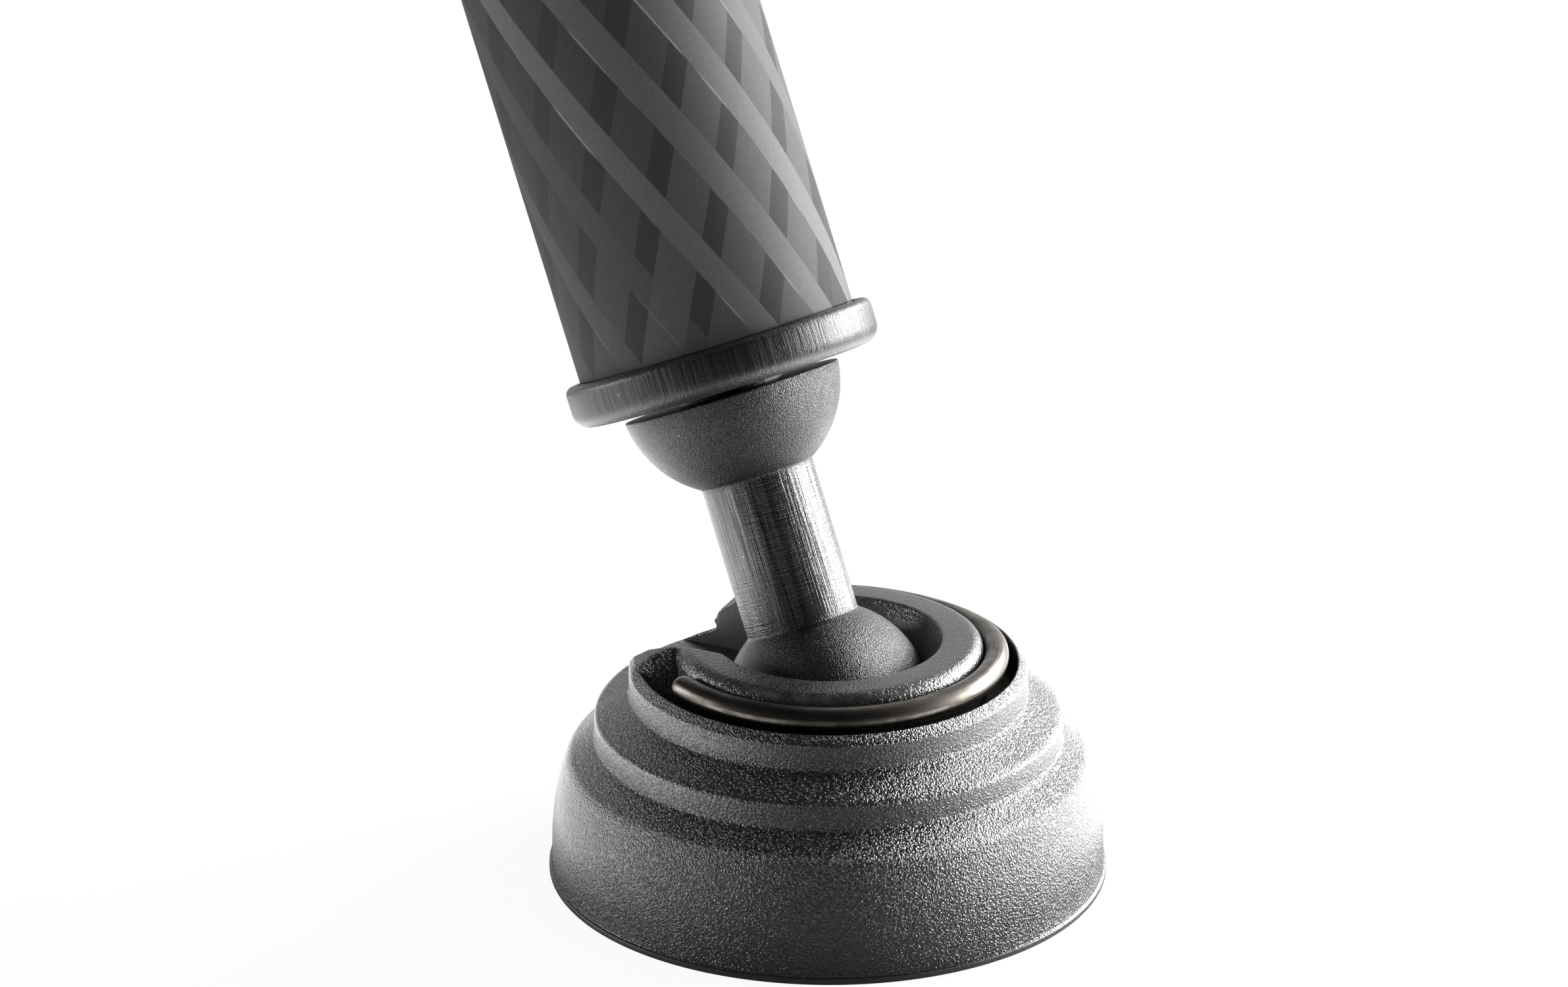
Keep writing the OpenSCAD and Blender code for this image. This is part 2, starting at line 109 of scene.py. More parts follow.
def finish_mesh(mesh, sharp=40):
    """Closes seams and poles, turns faces outwards and shades them smooth but for sharp edges."""
    bm = bmesh.new()
    bm.from_mesh(mesh)
    bmesh.ops.remove_doubles(bm, verts=bm.verts, dist=WELD * MM)
    bmesh.ops.dissolve_degenerate(bm, edges=bm.edges, dist=WELD * MM / 2)
    bmesh.ops.recalc_face_normals(bm, faces=bm.faces)
    bm.to_mesh(mesh)
    bm.free()
    mesh.polygons.foreach_set("use_smooth", [True] * len(mesh.polygons))
    mesh.set_sharp_from_angle(angle=math.radians(sharp))


def grid_mesh(name, points, edge, zone, wrap_rows, wrap_columns, uv):
    """A sheet of quads from an array of points, with its own UV map and its edge and zone attributes."""
    rows, columns = points.shape[:2]
    tall, wide = rows - (not wrap_rows), columns - (not wrap_columns)
    i, j = np.meshgrid(np.arange(tall), np.arange(wide), indexing="ij")
    i2, j2 = (i + 1) % rows, (j + 1) % columns
    corners = [i * columns + j, i * columns + j2, i2 * columns + j2, i2 * columns + j]
    faces = np.stack(corners, -1).reshape(-1, 4)
    mesh = bpy.data.meshes.new(name)
    mesh.from_pydata(points.reshape(-1, 3).tolist(), [], faces.tolist())
    turn = np.stack([j, j + 1, j + 1, j], -1).reshape(-1) / wide
    along = uv.reshape(-1)[faces.reshape(-1)]
    mesh.uv_layers.new(name="winding").data.foreach_set("uv", np.stack([turn, along], -1).ravel().tolist())
    for key, values in (("edge", edge), ("zone", zone)):
        mesh.attributes.new(key, "FLOAT", "POINT").data.foreach_set("value", values.reshape(-1).tolist())
    return mesh


def spun(rows, angle):
    """Radius, distance along the axis, edge and zone of the rows, each repeated for every angle."""
    return (np.repeat(rows[:, k : k + 1], len(angle), 1) for k in range(4))


def turned(name, corners, place=ON_LEG, closed=True, columns=128, span=FULL_TURN, wave=None):
    """A turned piece. With wave, the radius of the rows whose zone is set follows wave(angle)."""
    rows = rounded(corners, closed)
    whole = span == FULL_TURN
    angle = np.linspace(-span / 2, span / 2, columns + 1)
    if whole:
        angle = angle[:-1]
    r, s, edge, zone = spun(rows, angle)
    if wave is not None:
        r = r + wave(angle) * zone
    mesh = grid_mesh(name, polar(r, angle, s), edge, zone, closed, whole, s * MM)
    mesh.transform(place)
    if whole:
        finish_mesh(mesh)
    return mesh


FLUTE_CUT, FLUTE_R, FLUTE_SHARPNESS = 0.8, 2.2, 9.0


def flutes(radius):
    """The change of radius round a fluted piece, for one cell with the flute in its middle."""
    far = radius + FLUTE_R - FLUTE_CUT

    def wave(angle):
        inside = np.clip(FLUTE_R**2 - (far * np.sin(angle)) ** 2, 0, None)
        near = np.where(inside > 0, far * np.cos(angle) - np.sqrt(inside), radius + 1)
        return -np.log(np.exp(-FLUTE_SHARPNESS * (near - radius)) + 1) / FLUTE_SHARPNESS

    return wave


def arc(s0, radius, a0, a1, count):
    """Corners along an arc round s0 on the axis, from angle a0 to a1 in degrees."""
    turn = [math.radians(a0 + (a1 - a0) * k / count) for k in range(count + 1)]
    return [(max(0.0, radius * math.cos(a)), s0 + radius * math.sin(a)) for a in turn]


def placed(name, data):
    """An object of that data, in the scene."""
    thing = bpy.data.objects.new(name, data)
    bpy.context.scene.collection.objects.link(thing)
    return thing


def taken_from(holder):
    """The finished mesh of a helper object, which is then removed."""
    bpy.context.view_layer.update()
    mesh = bpy.data.meshes.new_from_object(holder.evaluated_get(bpy.context.evaluated_depsgraph_get()))
    bpy.data.objects.remove(holder)
    return mesh


def piece(name, mesh, body, nodes, material):
    """A finished piece that stands for CAD nodes and moves with their body."""
    thing = placed(name, mesh)
    mesh.materials.clear()
    mesh.materials.append(material)
    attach(thing, body)
    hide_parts(*nodes)


# Node helpers


class Board:
    """A node tree with a short way to add a node, set its values and link its inputs."""

    def __init__(self, tree):
        self.tree = tree

    def add(self, kind, inputs=None, **settings):
        """A new node's outputs; an input given a socket is linked to it, any other value is set."""
        made = self.tree.nodes.new(kind)
        for key, value in settings.items():
            setattr(made, key, value)
        for key, value in (inputs or {}).items():
            socket = made.inputs[key]
            if isinstance(value, bpy.types.NodeSocket):
                self.tree.links.new(value, socket)
            else:
                socket.default_value = value
        return made.outputs

    def math(self, operation, *values):
        return self.add("ShaderNodeMath", dict(enumerate(values)), operation=operation)[0]

    def results(self, **values):
        """Gives a group its results."""
        self.add("NodeGroupOutput", values)
        return self.tree

    def times(self, first, second):
        return self.math("MULTIPLY", first, second)

    def times_plus(self, value, factor, extra):
        """Value times factor, plus extra."""
        return self.math("MULTIPLY_ADD", value, factor, extra)

    def spread(self, value, low, high, to_low=0.0, to_high=1.0):
        """A value between low and high, taken smoothly to between to_low and to_high."""
        inputs = {0: value, 1: low, 2: high, 3: to_low, 4: to_high}
        return self.add("ShaderNodeMapRange", inputs, interpolation_type="SMOOTHSTEP")[0]

    def mix(self, share, first, second):
        return self.add("ShaderNodeMix", {0: share, 6: first, 7: second}, data_type="RGBA")[2]

    def vector(self, operation, first, second):
        return self.add("ShaderNodeVectorMath", {0: first, 1: second}, operation=operation)

    def scaled(self, vector, x, y, z):
        return self.vector("MULTIPLY", vector, (x, y, z))[0]

    def noise(self, vector, scale=1.0, detail=2.0, rough=0.5):
        inputs = {"Vector": vector, "Scale": scale, "Detail": detail, "Roughness": rough}
        return self.add("ShaderNodeTexNoise", inputs)[0]

    def bump(self, height, strength, distance, normal=None):
        inputs = {"Height": height, "Strength": strength, "Distance": distance}
        if normal is not None:
            inputs["Normal"] = normal
        return self.add("ShaderNodeBump", inputs)[0]


def emptied(owner):
    """The board of a material's or a world's node tree, with nothing in it."""
    owner.use_nodes = True
    owner.node_tree.nodes.clear()
    return Board(owner.node_tree)


# Repeats along the leg: one Geometry Nodes tree for flutes, grip rings and screw threads


def repeat_tree():
    """A cell set on each point of a line, turned a step further each time, then brought onto the leg."""
    tree = bpy.data.node_groups.new("repeat_along_leg", "GeometryNodeTree")
    kinds = {"Geometry": "NodeSocketGeometry", "Count": "NodeSocketInt", "Finish": "NodeSocketMaterial"}
    for label in ("Geometry", "Count", "Rise", "Turn", "Start", "Lean", "Lift", "Finish"):
        tree.interface.new_socket(label, in_out="INPUT", socket_type=kinds.get(label, "NodeSocketFloat"))
    tree.interface.new_socket("Geometry", in_out="OUTPUT", socket_type=kinds["Geometry"])
    b = Board(tree)
    given = b.add("NodeGroupInput")

    def along(axis, value):
        return b.add("ShaderNodeCombineXYZ", {axis: value})[0]

    start, step = along("Z", given["Start"]), along("Z", given["Rise"])
    inputs = {"Count": given["Count"], "Start Location": start, "Offset": step}
    line = b.add("GeometryNodeMeshLine", inputs)["Mesh"]
    turn = b.times(b.add("GeometryNodeInputIndex")[0], given["Turn"])
    rotation = b.add("FunctionNodeEulerToRotation", {0: along("Z", turn)})[0]
    inputs = {"Points": line, "Instance": given["Geometry"], "Rotation": rotation}
    cells = b.add("GeometryNodeInstanceOnPoints", inputs)[0]
    lean, lift = along("Y", given["Lean"]), along("Z", given["Lift"])
    on_leg = b.add("GeometryNodeTransform", {"Geometry": cells, "Rotation": lean, "Translation": lift})
    real = b.add("GeometryNodeRealizeInstances", {0: on_leg[0]})[0]
    finish = b.add("GeometryNodeSetMaterial", {"Geometry": real, "Material": given["Finish"]})
    return b.results(Geometry=finish[0])


REPEAT = repeat_tree()


def repeated(name, cell, material, count, rise=0.0, turn=0.0, start=0.0):
    """A plain mesh of one cell repeated along or round the leg; sizes in millimetres and radians."""
    holder = placed(name + "_cell", cell)
    made = holder.modifiers.new("repeat", "NODES")
    made.node_group = REPEAT
    given = {"Count": count, "Rise": rise * MM, "Turn": turn, "Start": start * MM,
             "Lean": -LEAN, "Lift": BALL_Z * MM, "Finish": material}
    for item in REPEAT.interface.items_tree:
        if item.item_type == "SOCKET" and item.in_out == "INPUT" and item.name in given:
            made[item.identifier] = given[item.name]
    mesh = taken_from(holder)
    mesh.name = name
    finish_mesh(mesh)
    return mesh


def joined(first, *others):
    """One mesh out of several, with seams closed."""
    bm = bmesh.new()
    for mesh in (first, *others):
        bm.from_mesh(mesh)
    bm.to_mesh(first)
    bm.free()
    finish_mesh(first)
    return first


# Shared effects


def group(name, inputs, outputs):
    """A new group's board and inputs; every value is a number but for Place."""
    tree = bpy.data.node_groups.new(name, "ShaderNodeTree")
    for label in inputs:
        kind = "NodeSocketVector" if label == "Place" else "NodeSocketFloat"
        tree.interface.new_socket(label, in_out="INPUT", socket_type=kind)
    for label in outputs:
        tree.interface.new_socket(label, in_out="OUTPUT", socket_type="NodeSocketFloat")
    board = Board(tree)
    return board, board.add("NodeGroupInput")


def pebble_group():
    """Moulded grain: rounded, worm-like bumps of one size, with a finer layer on top."""
    b, given = group("pebble_grain", ("Place", "Size"), ("Height", "Shade"))
    size = b.math("DIVIDE", 1.0, given["Size"])
    bent = b.add("ShaderNodeTexNoise", {"Vector": given["Place"], "Scale": b.times(size, 0.8), "Detail": 1.0})
    shift = b.vector("SUBTRACT", bent["Color"], (0.5, 0.5, 0.5))[0]
    amount = b.add("ShaderNodeVectorMath", {0: shift, 3: b.times(given["Size"], 1.6)}, operation="SCALE")
    place = b.vector("ADD", given["Place"], amount[0])[0]
    cells = b.add("ShaderNodeTexVoronoi", {"Vector": place, "Scale": size}, feature="F1")
    dome = b.spread(cells["Distance"], 0.75, 0.10)
    fine = b.noise(given["Place"], scale=b.times(size, 1.7), rough=0.6)
    height = b.times_plus(dome, 0.6, b.times(fine, 0.8))
    # Shade is high on the bumps' tops: the foot's rubber paints highlights there and shade where it is low.
    return b.results(Height=height, Shade=b.times(dome, b.spread(fine, 0.35, 0.68)))


def specks_group():
    """Sparse specks of dust."""
    b, given = group("dust_specks", ("Place", "Spacing", "Share"), ("Mask",))
    scale = b.math("DIVIDE", 1.0, given["Spacing"])
    cells = b.add("ShaderNodeTexVoronoi", {"Vector": given["Place"], "Scale": scale})
    tone = b.add("ShaderNodeSeparateColor", {0: cells["Color"]})
    chosen = b.math("LESS_THAN", tone[0], given["Share"])
    radius = b.times_plus(tone[1], 0.07, 0.03)
    dot = b.math("LESS_THAN", cells["Distance"], radius)
    return b.results(Mask=b.times(chosen, dot))


def wear_group():
    """Wear along edges, broken up by noise."""
    b, given = group("edge_wear", ("Place", "Edge", "Amount"), ("Mask",))
    patch = b.noise(given["Place"], scale=0.35, detail=3.0, rough=0.65)
    rub = b.math("ADD", b.times(given["Edge"], given["Amount"]), b.math("SUBTRACT", patch, 0.5))
    return b.results(Mask=b.times(b.spread(rub, 0.35, 0.85), given["Edge"]))


def ribbon_group():
    """One family of wound ribbons: where a ribbon lies, its tone, and a thin line along one side."""
    inputs = ("Turn", "Along", "Count", "Twist", "Shift", "Fill", "Seed")
    b, given = group("wound_ribbons", inputs, ("Mask", "Tone", "Side"))
    round_tube = b.times_plus(given["Turn"], given["Count"], given["Shift"])
    path = b.times_plus(given["Along"], given["Twist"], round_tube)
    number = b.math("FLOORED_MODULO", b.math("FLOOR", path), given["Count"])
    draw = b.math("ADD", number, given["Seed"])
    chance = b.add("ShaderNodeTexWhiteNoise", {"W": draw}, noise_dimensions="1D")
    tones = b.add("ShaderNodeSeparateColor", {0: chance["Color"]})
    middle = b.times_plus(tones[1], 0.12, 0.44)
    half = b.times(b.times_plus(tones[0], 0.16, 0.42), given["Fill"])
    across = b.math("SUBTRACT", b.math("FRACT", path), middle)
    inside = b.math("SUBTRACT", half, b.math("ABSOLUTE", across))
    line = b.math("ABSOLUTE", b.math("ADD", across, half))
    return b.results(Mask=b.spread(inside, -0.010, 0.010), Tone=tones[2], Side=b.spread(line, 0.022, 0.004))


PEBBLE = pebble_group()
SPECKS = specks_group()
WEAR = wear_group()
RIBBONS = ribbon_group()


class Finish(Board):
    """A material with one Principled shader."""

    def __init__(self, name, **fixed):
        self.material = bpy.data.materials.new(name)
        self.material.use_nodes = True
        super().__init__(self.material.node_tree)
        self.shader = next(n for n in self.tree.nodes if n.type == "BSDF_PRINCIPLED")
        for key, value in fixed.items():
            self.shader.inputs[key.replace("_", " ")].default_value = value
        self.place = self.add("ShaderNodeTexCoord")["Object"]

    def millimetres(self):
        """Place in millimetres."""
        return self.scaled(self.place, 1 / MM, 1 / MM, 1 / MM)

    def along_leg(self):
        """Place in millimetres with the third axis along the leg."""
        inputs = {"Vector": self.place, "Location": (0, 0, BALL_Z * MM),
                  "Rotation": (0, -LEAN, 0), "Scale": (MM, MM, MM)}
        return self.add("ShaderNodeMapping", inputs, vector_type="TEXTURE")[0]

    def winding(self):
        """The piece's own map: its share of a turn, and metres along it."""
        held = self.add("ShaderNodeUVMap", uv_map="winding")[0]
        return self.add("ShaderNodeSeparateXYZ", {0: held})

    def attribute(self, name):
        return self.add("ShaderNodeAttribute", attribute_name=name)["Fac"]

    def effect(self, tree, **inputs):
        """A shared effect with this finish's own values."""
        return self.add("ShaderNodeGroup", inputs, node_tree=tree)

    def dusted(self, colour, dust, place, spacing, share, cover):
        """The colour with specks of dust: a share of the cells of that spacing holds one."""
        specks = self.effect(SPECKS, Place=place, Spacing=spacing, Share=share)["Mask"]
        return self.mix(self.times(specks, cover), colour, dust)

    def wear(self, place, amount):
        """Where the piece's edges are rubbed."""
        return self.effect(WEAR, Place=place, Edge=self.attribute("edge"), Amount=amount)["Mask"]

    def set(self, colour, rough, normal, **others):
        """The material with these values linked to its shader."""
        links = {"Base Color": colour, "Roughness": rough, "Normal": normal, **others}
        for key, value in links.items():
            self.tree.links.new(value, self.shader.inputs[key])
        return self.material


def grey(value, warm=0.0):
    """A grey, redder and less blue by the share warm."""
    return (value * (1 + warm), value, value * (1 - warm), 1)


def foot_rubber():
    """Moulded rubber; the zone value sets where it has its grain, with painted shade in the grain's hollows
    and painted highlights on its tops.
    """
    f = Finish("foot_rubber", IOR=1.55, Specular_IOR_Level=1.0)
    place = f.millimetres()
    zone = f.attribute("zone")
    grain = f.effect(PEBBLE, Place=place, Size=0.24)
    cloud = f.noise(place, scale=0.22, detail=3.0, rough=0.6)
    worn = f.wear(place, amount=0.6)
    base = f.mix(cloud, grey(0.011), grey(0.017, 0.01))
    # Painted shade darkens the grain's hollows (pits) and painted highlights lighten the grain's tops (tips),
    # where the zone is set.
    painted_shade_hollows, painted_highlight_tops = f.math("SUBTRACT", 1.0, grain["Shade"]), f.spread(grain["Shade"], 0.15, 0.55)
    pits = f.mix(f.times(painted_shade_hollows, f.times(zone, 0.55)), base, grey(0.008))
    painted_tip_highlights = f.mix(f.times(painted_highlight_tops, f.times(zone, 0.9)), pits, grey(0.075, 0.01))
    rubbed = f.mix(f.times(worn, 0.45), painted_tip_highlights, grey(0.18))
    colour = f.dusted(rubbed, grey(0.5, 0.02), place, spacing=0.8, share=0.10, cover=0.55)
    skin = f.noise(place, scale=5.0)
    height = f.times_plus(skin, 0.10, f.times(grain["Height"], f.times_plus(zone, 0.92, 0.08)))
    rough = f.math("ADD", f.spread(zone, 0.0, 0.25, 0.56, 0.25), f.times_plus(cloud, 0.12, -0.06))
    normal = f.bump(height, strength=1.0, distance=0.12 * MM)
    return f.set(colour, rough, normal)


def grip_rubber():
    """Softer, finer-looking rubber of the grip, the lock covers and the pad."""
    f = Finish("grip_rubber", IOR=1.5)
    place = f.along_leg()
    grain = f.effect(PEBBLE, Place=place, Size=0.45)
    cloud = f.noise(place, scale=0.12, detail=3.0, rough=0.6)
    worn = f.wear(place, amount=0.9)
    base = f.mix(cloud, grey(0.024), grey(0.040))
    rubbed = f.mix(f.times(worn, 0.6), base, grey(0.09))
    colour = f.dusted(rubbed, grey(0.4, 0.03), place, spacing=2.4, share=0.05, cover=0.4)
    rough = f.spread(cloud, 0.3, 0.7, 0.52, 0.66)
    normal = f.bump(grain["Height"], strength=0.45, distance=0.12 * MM)
    return f.set(colour, rough, normal)


def black_anodised():
    """Turned aluminium, blasted, anodised black; fine marks run along the leg on the outer walls."""
    f = Finish("black_anodised", Metallic=0.9)
    place = f.along_leg()
    marks = f.noise(f.scaled(place, 4.2, 4.2, 0.14), detail=3.0, rough=0.7)
    fine = f.noise(place, scale=6.5)
    worn = f.wear(place, amount=0.95)
    base = f.mix(f.spread(marks, 0.35, 0.7), grey(0.052), grey(0.090, 0.015))
    rubbed = f.mix(f.times(worn, 0.3), base, grey(0.20, 0.02))
    colour = f.dusted(rubbed, grey(0.5, 0.02), place, spacing=1.6, share=0.05, cover=0.5)
    rough = f.math("ADD", f.spread(marks, 0.3, 0.7, 0.38, 0.50), f.times(worn, -0.06))
    grain = f.bump(fine, strength=0.5, distance=0.06 * MM)
    normal = f.bump(marks, strength=0.6, distance=0.1 * MM, normal=grain)
    return f.set(colour, rough, normal)


def blasted_and_turned():
    """Ball and dome bead-blasted, the rod between them turned."""
    f = Finish("blasted_and_turned_black", Metallic=0.95)
    place = f.along_leg()
    rod = f.attribute("zone")
    beads = f.noise(place, scale=7.5, rough=0.6)
    rings = f.noise(f.scaled(place, 0.5, 0.5, 6.5), rough=0.6)
    streaks = f.noise(f.scaled(place, 4.0, 4.0, 0.08), detail=3.0, rough=0.65)
    ball = f.mix(f.spread(beads, 0.35, 0.7), grey(0.043), grey(0.098, 0.015))
    shaft = f.mix(f.spread(streaks, 0.3, 0.7), grey(0.043, 0.01), grey(0.16, 0.02))
    colour = f.dusted(f.mix(rod, ball, shaft), grey(0.7, 0.02), place, spacing=0.7, share=0.08, cover=0.5)
    turned_rod = f.times_plus(rings, 0.55, f.times(streaks, 0.6))
    height = f.math("ADD", f.times(turned_rod, rod), f.times(beads, f.times_plus(rod, -0.7, 1.0)))
    rough = f.math("ADD", f.spread(rod, 0.0, 1.0, 0.30, 0.31), f.times_plus(streaks, 0.16, -0.08))
    normal = f.bump(height, strength=1.0, distance=0.13 * MM)
    return f.set(colour, rough, normal)


def wound_carbon():
    """Filament-wound tube: two crossing families of ribbons under a thin satin resin."""
    f = Finish("wound_carbon", IOR=1.5, Specular_IOR_Level=0.08, Anisotropic=0.7)
    place = f.along_leg()
    way = f.winding()
    laid = {"Turn": way[0], "Along": way[1], "Count": 12.0}
    # The two seeds are picked so that the ribbons on the tube's left, as the camera sees it, come out dim:
    # painted shade on that side; otherwise the ribbons' tones differ at random.
    over = f.effect(RIBBONS, **laid, Twist=72.4, Shift=0.68, Fill=0.38, Seed=232.0)
    under = f.effect(RIBBONS, **laid, Twist=-76.1, Shift=0.21, Fill=0.60, Seed=262.0)
    cloud = f.noise(place, scale=0.12, detail=3.0, rough=0.6)
    fibres = f.noise(f.scaled(place, 6.0, 6.0, 2.0), rough=0.6)
    below = f.times(under["Mask"], f.times_plus(under["Tone"], 0.46, 0.06))
    light = f.times(over["Mask"], f.times_plus(over["Tone"], 0.90, 0.16))
    tone = f.math("MAXIMUM", below, light)
    stretches = f.spread(f.noise(place, scale=0.09), 0.5, 0.62)
    line = f.times(f.times(over["Side"], over["Tone"]), stretches)
    base = f.mix(tone, grey(0.047, 0.02), grey(0.128, 0.025))
    edged = f.mix(f.times(line, 0.6), base, grey(0.40, 0.02))
    grain = f.mix(f.times(f.spread(fibres, 0.4, 0.7), 0.14), edged, grey(0.02))
    colour = f.dusted(grain, grey(0.6, 0.02), place, spacing=1.3, share=0.035, cover=0.7)
    rough = f.math("ADD", f.spread(tone, 0.0, 1.0, 0.60, 0.52), f.times_plus(cloud, 0.10, -0.05))
    height = f.times_plus(over["Mask"], 0.6, f.times(fibres, 0.5))
    across = f.add("ShaderNodeTangent", direction_type="UV_MAP", uv_map="winding")[0]
    normal = f.bump(height, strength=0.2, distance=0.04 * MM)
    return f.set(colour, rough, normal, Tangent=across)


def spring_steel():
    """Drawn wire with brown stains and small pits."""
    f = Finish("spring_steel", Metallic=1.0)
    place = f.millimetres()
    way = f.winding()
    round_wire, along_wire = f.times(way[0], 34.0), f.times(way[1], 130.0)
    drawn_place = f.add("ShaderNodeCombineXYZ", {0: round_wire, 1: along_wire})[0]
    stain = f.noise(place, scale=0.30, detail=4.0, rough=0.65)
    drawn = f.noise(drawn_place, detail=3.0, rough=0.65)
    pits = f.noise(place, scale=3.2, rough=0.6)
    base = f.mix(f.spread(stain, 0.35, 0.68), (0.085, 0.076, 0.066, 1), (0.18, 0.167, 0.150, 1))
    dark = f.mix(f.times(f.spread(drawn, 0.52, 0.75), 0.55), base, (0.045, 0.039, 0.033, 1))
    specked = f.mix(f.times(f.spread(pits, 0.62, 0.72), 0.6), dark, (0.06, 0.05, 0.04, 1))
    colour = f.dusted(specked, grey(0.7, 0.02), place, spacing=0.6, share=0.06, cover=0.4)
    rough = f.math("ADD", f.spread(stain, 0.3, 0.7, 0.40, 0.28), f.times_plus(drawn, 0.16, -0.08))
    normal = f.bump(drawn, strength=0.5, distance=0.06 * MM)
    return f.set(colour, rough, normal)


def plain_steel():
    """Bright turned steel of screws and ring."""
    f = Finish("plain_steel", Metallic=1.0)
    place = f.along_leg()
    stain = f.noise(place, scale=0.4, detail=4.0, rough=0.6)
    fine = f.noise(f.scaled(place, 0.6, 0.6, 6.0))
    worn = f.wear(place, amount=0.8)
    base = f.mix(f.spread(stain, 0.35, 0.7), grey(0.36, 0.02), grey(0.50, 0.01))
    colour = f.mix(f.times(worn, 0.6), base, grey(0.68, 0.01))
    rough = f.spread(stain, 0.3, 0.7, 0.26, 0.38)
    normal = f.bump(fine, strength=0.2, distance=0.05 * MM)
    return f.set(colour, rough, normal)


def seat_plastic():
    """Pale low-friction plastic of the seat, sleeves and collets."""
    f = Finish("seat_plastic", IOR=1.5)
    place = f.millimetres()
    cloud = f.noise(place, scale=0.3, detail=3.0)
    fine = f.noise(place, scale=3.0)
    colour = f.mix(cloud, (0.56, 0.53, 0.46, 1), (0.66, 0.63, 0.55, 1))
    rough = f.spread(fine, 0.3, 0.7, 0.38, 0.5)
    normal = f.bump(fine, strength=0.1, distance=0.05 * MM)
    return f.set(colour, rough, normal)


FOOT_RUBBER = foot_rubber()
GRIP_RUBBER = grip_rubber()
BLACK_METAL = black_anodised()
STUD_METAL = blasted_and_turned()
CARBON = wound_carbon()
SPRING_STEEL = spring_steel()
PLAIN_STEEL = plain_steel()
SEAT_PLASTIC = seat_plastic()


# Foot

SOLE_R = 24.997
SKIRT_R, SKIRT_Z = 24.697, 2.6
SKIRT_SWELL, SKIRT_RISE, SKIRT_STEPS = 1.5, 8.33, 12
BAND_R, BAND_TOP = 20.797, 14.83
RIM_R, RIM_FOOT = 17.697, 16.83
LEDGE_RUN, LEDGE_FALL = 3.1, 2.0
GROOVE_R, GROOVE_Z = 16.797, 16.03
COLLAR_R, COLLAR_Z = 13.757, 22.08
COLLAR_FROM_Z, COLLAR_DROP, COLLAR_REACH = 18.0, 0.40, 14.0
MOUTH_R = 10.157
CONE_R, CONE_RISE, CONE_ANGLE = 6.289, 3.78, math.radians(30)
SOCKET_R = 9.28
POCKET_R, POCKET_TOP, POCKET_Z = 10.9, 10.48, 3.4
SLOT_FLOOR = BALL_Z - 0.2
SLOT_HALF, SLOT_EDGE = 7.8, 0.3
AWAY_DIR = math.radians(134.3) - SLOT_DIR
AWAY_X, AWAY_Y = math.cos(AWAY_DIR), math.sin(AWAY_DIR)

# Heights (r, z) of the hump beside the slot and of the sloping end of the rear lobe
HUMP = np.array([(12.3, 22.0), (14.05, 21.8), (15.9, 21.1), (17.2, 20.15), (17.55, 19.7), (17.697, 19.2)])
REAR_LOBE = np.array([
    (10.0, 22.2), (12.0, 21.9), (13.5, 21.35), (15.3, 20.15), (16.6, 19.05), (17.2, 18.5), (17.6, 17.9),
])
HUMP_FROM_Z, HUMP_TO_R, HUMP_TO_Z = 18.7, 13.0, 21.0
RAMP_START, RAMP_END, RAMP_FALL = math.radians(35.5), math.radians(49), 6.0
LOBE_SLOPE, LOBE_FLOOR = 0.6, 17.0
CORNER_CUT, CORNER_RUN = 0.40, 1.3
CORNER_R, CORNER_Z = 16.9, 16.3

# How finely the foot is divided: columns near the slot's ends, columns between them, the slot's own floor
NEAR_COLUMNS, NEAR_STEP, FAR_COLUMNS = 30, 0.0045, 150
SLOT_COLUMNS, SLOT_ROWS = 40, 12


def skirt_rows():
    """The skirt's outline, an arc that leans inwards as it rises."""
    curve = (SKIRT_SWELL**2 + SKIRT_RISE**2) / (2 * SKIRT_SWELL)
    bend = math.asin(SKIRT_RISE / curve)
    turn = [bend * k / SKIRT_STEPS for k in range(SKIRT_STEPS)]
    return [(SKIRT_R - curve + curve * math.cos(a), SKIRT_Z + curve * math.sin(a), 0, 1.0) for a in turn]


def foot_rows():
    """Outline of the foot in three runs: below the slot's floor, beside the slot, and inside the socket."""
    ledge_r = RIM_R + LEDGE_RUN * (RIM_FOOT - SLOT_FLOOR) / LEDGE_FALL
    lower = [
        (0, 0, 0, 0.2), (12, 0, 0, 0.2), (24.9, 0, 0.08, 0.2),
        (SOLE_R, 0.12, 0.05, 0.1), (SOLE_R, 0.52, 0.08, 0.1),
        (24.78, 0.62, 0.06, 0.3), (24.72, 0.95, 0.15, 0.8),
        *skirt_rows(),
        (23.197, 10.93, 1.8, 1.0), (21.5, 12.13, 0, 1.0),
        (BAND_R, 12.63, 0.5, 0.8), (BAND_R, 13.6, 0, 0.7), (BAND_R, BAND_TOP, 0.6, 0.6),
        (ledge_r, SLOT_FLOOR, 0, 1.0),
    ]
    upper = [
        (ledge_r, SLOT_FLOOR, 0, 1.0), (19.0, 15.99, 0, 1.0),
        (RIM_R, RIM_FOOT, 0.5, 0.8), (RIM_R, 18.0, 0, 0.4), (RIM_R, 19.08, 0.40, 0.6),
        (17.2, 19.6, 0, 0.9), (GROOVE_R, 20.03, 0.12, 0.9), (GROOVE_R, GROOVE_Z, 0.7),
        *[(r, GROOVE_Z) for r in (15.9, 15.6, 15.3, 15.0, 14.7)],
        (COLLAR_R, GROOVE_Z, 0.7), (COLLAR_R, 19.0, 0, 0.2), (COLLAR_R, COLLAR_Z, 1.3, 0.3),
        (MOUTH_R, COLLAR_Z, 0.4, 0.3),
        (CONE_R + CONE_RISE * math.tan(CONE_ANGLE), BALL_Z + CONE_RISE, 0.15),
        *arc(BALL_Z, SOCKET_R, 22.0, -1.24, 8),
    ]
    inner = [
        (9.278, SLOT_FLOOR), *arc(BALL_Z, SOCKET_R, -4, -32.6, 6),
        (POCKET_R, POCKET_TOP), (POCKET_R, POCKET_Z), (0, POCKET_Z),
    ]
    return lower, upper, inner


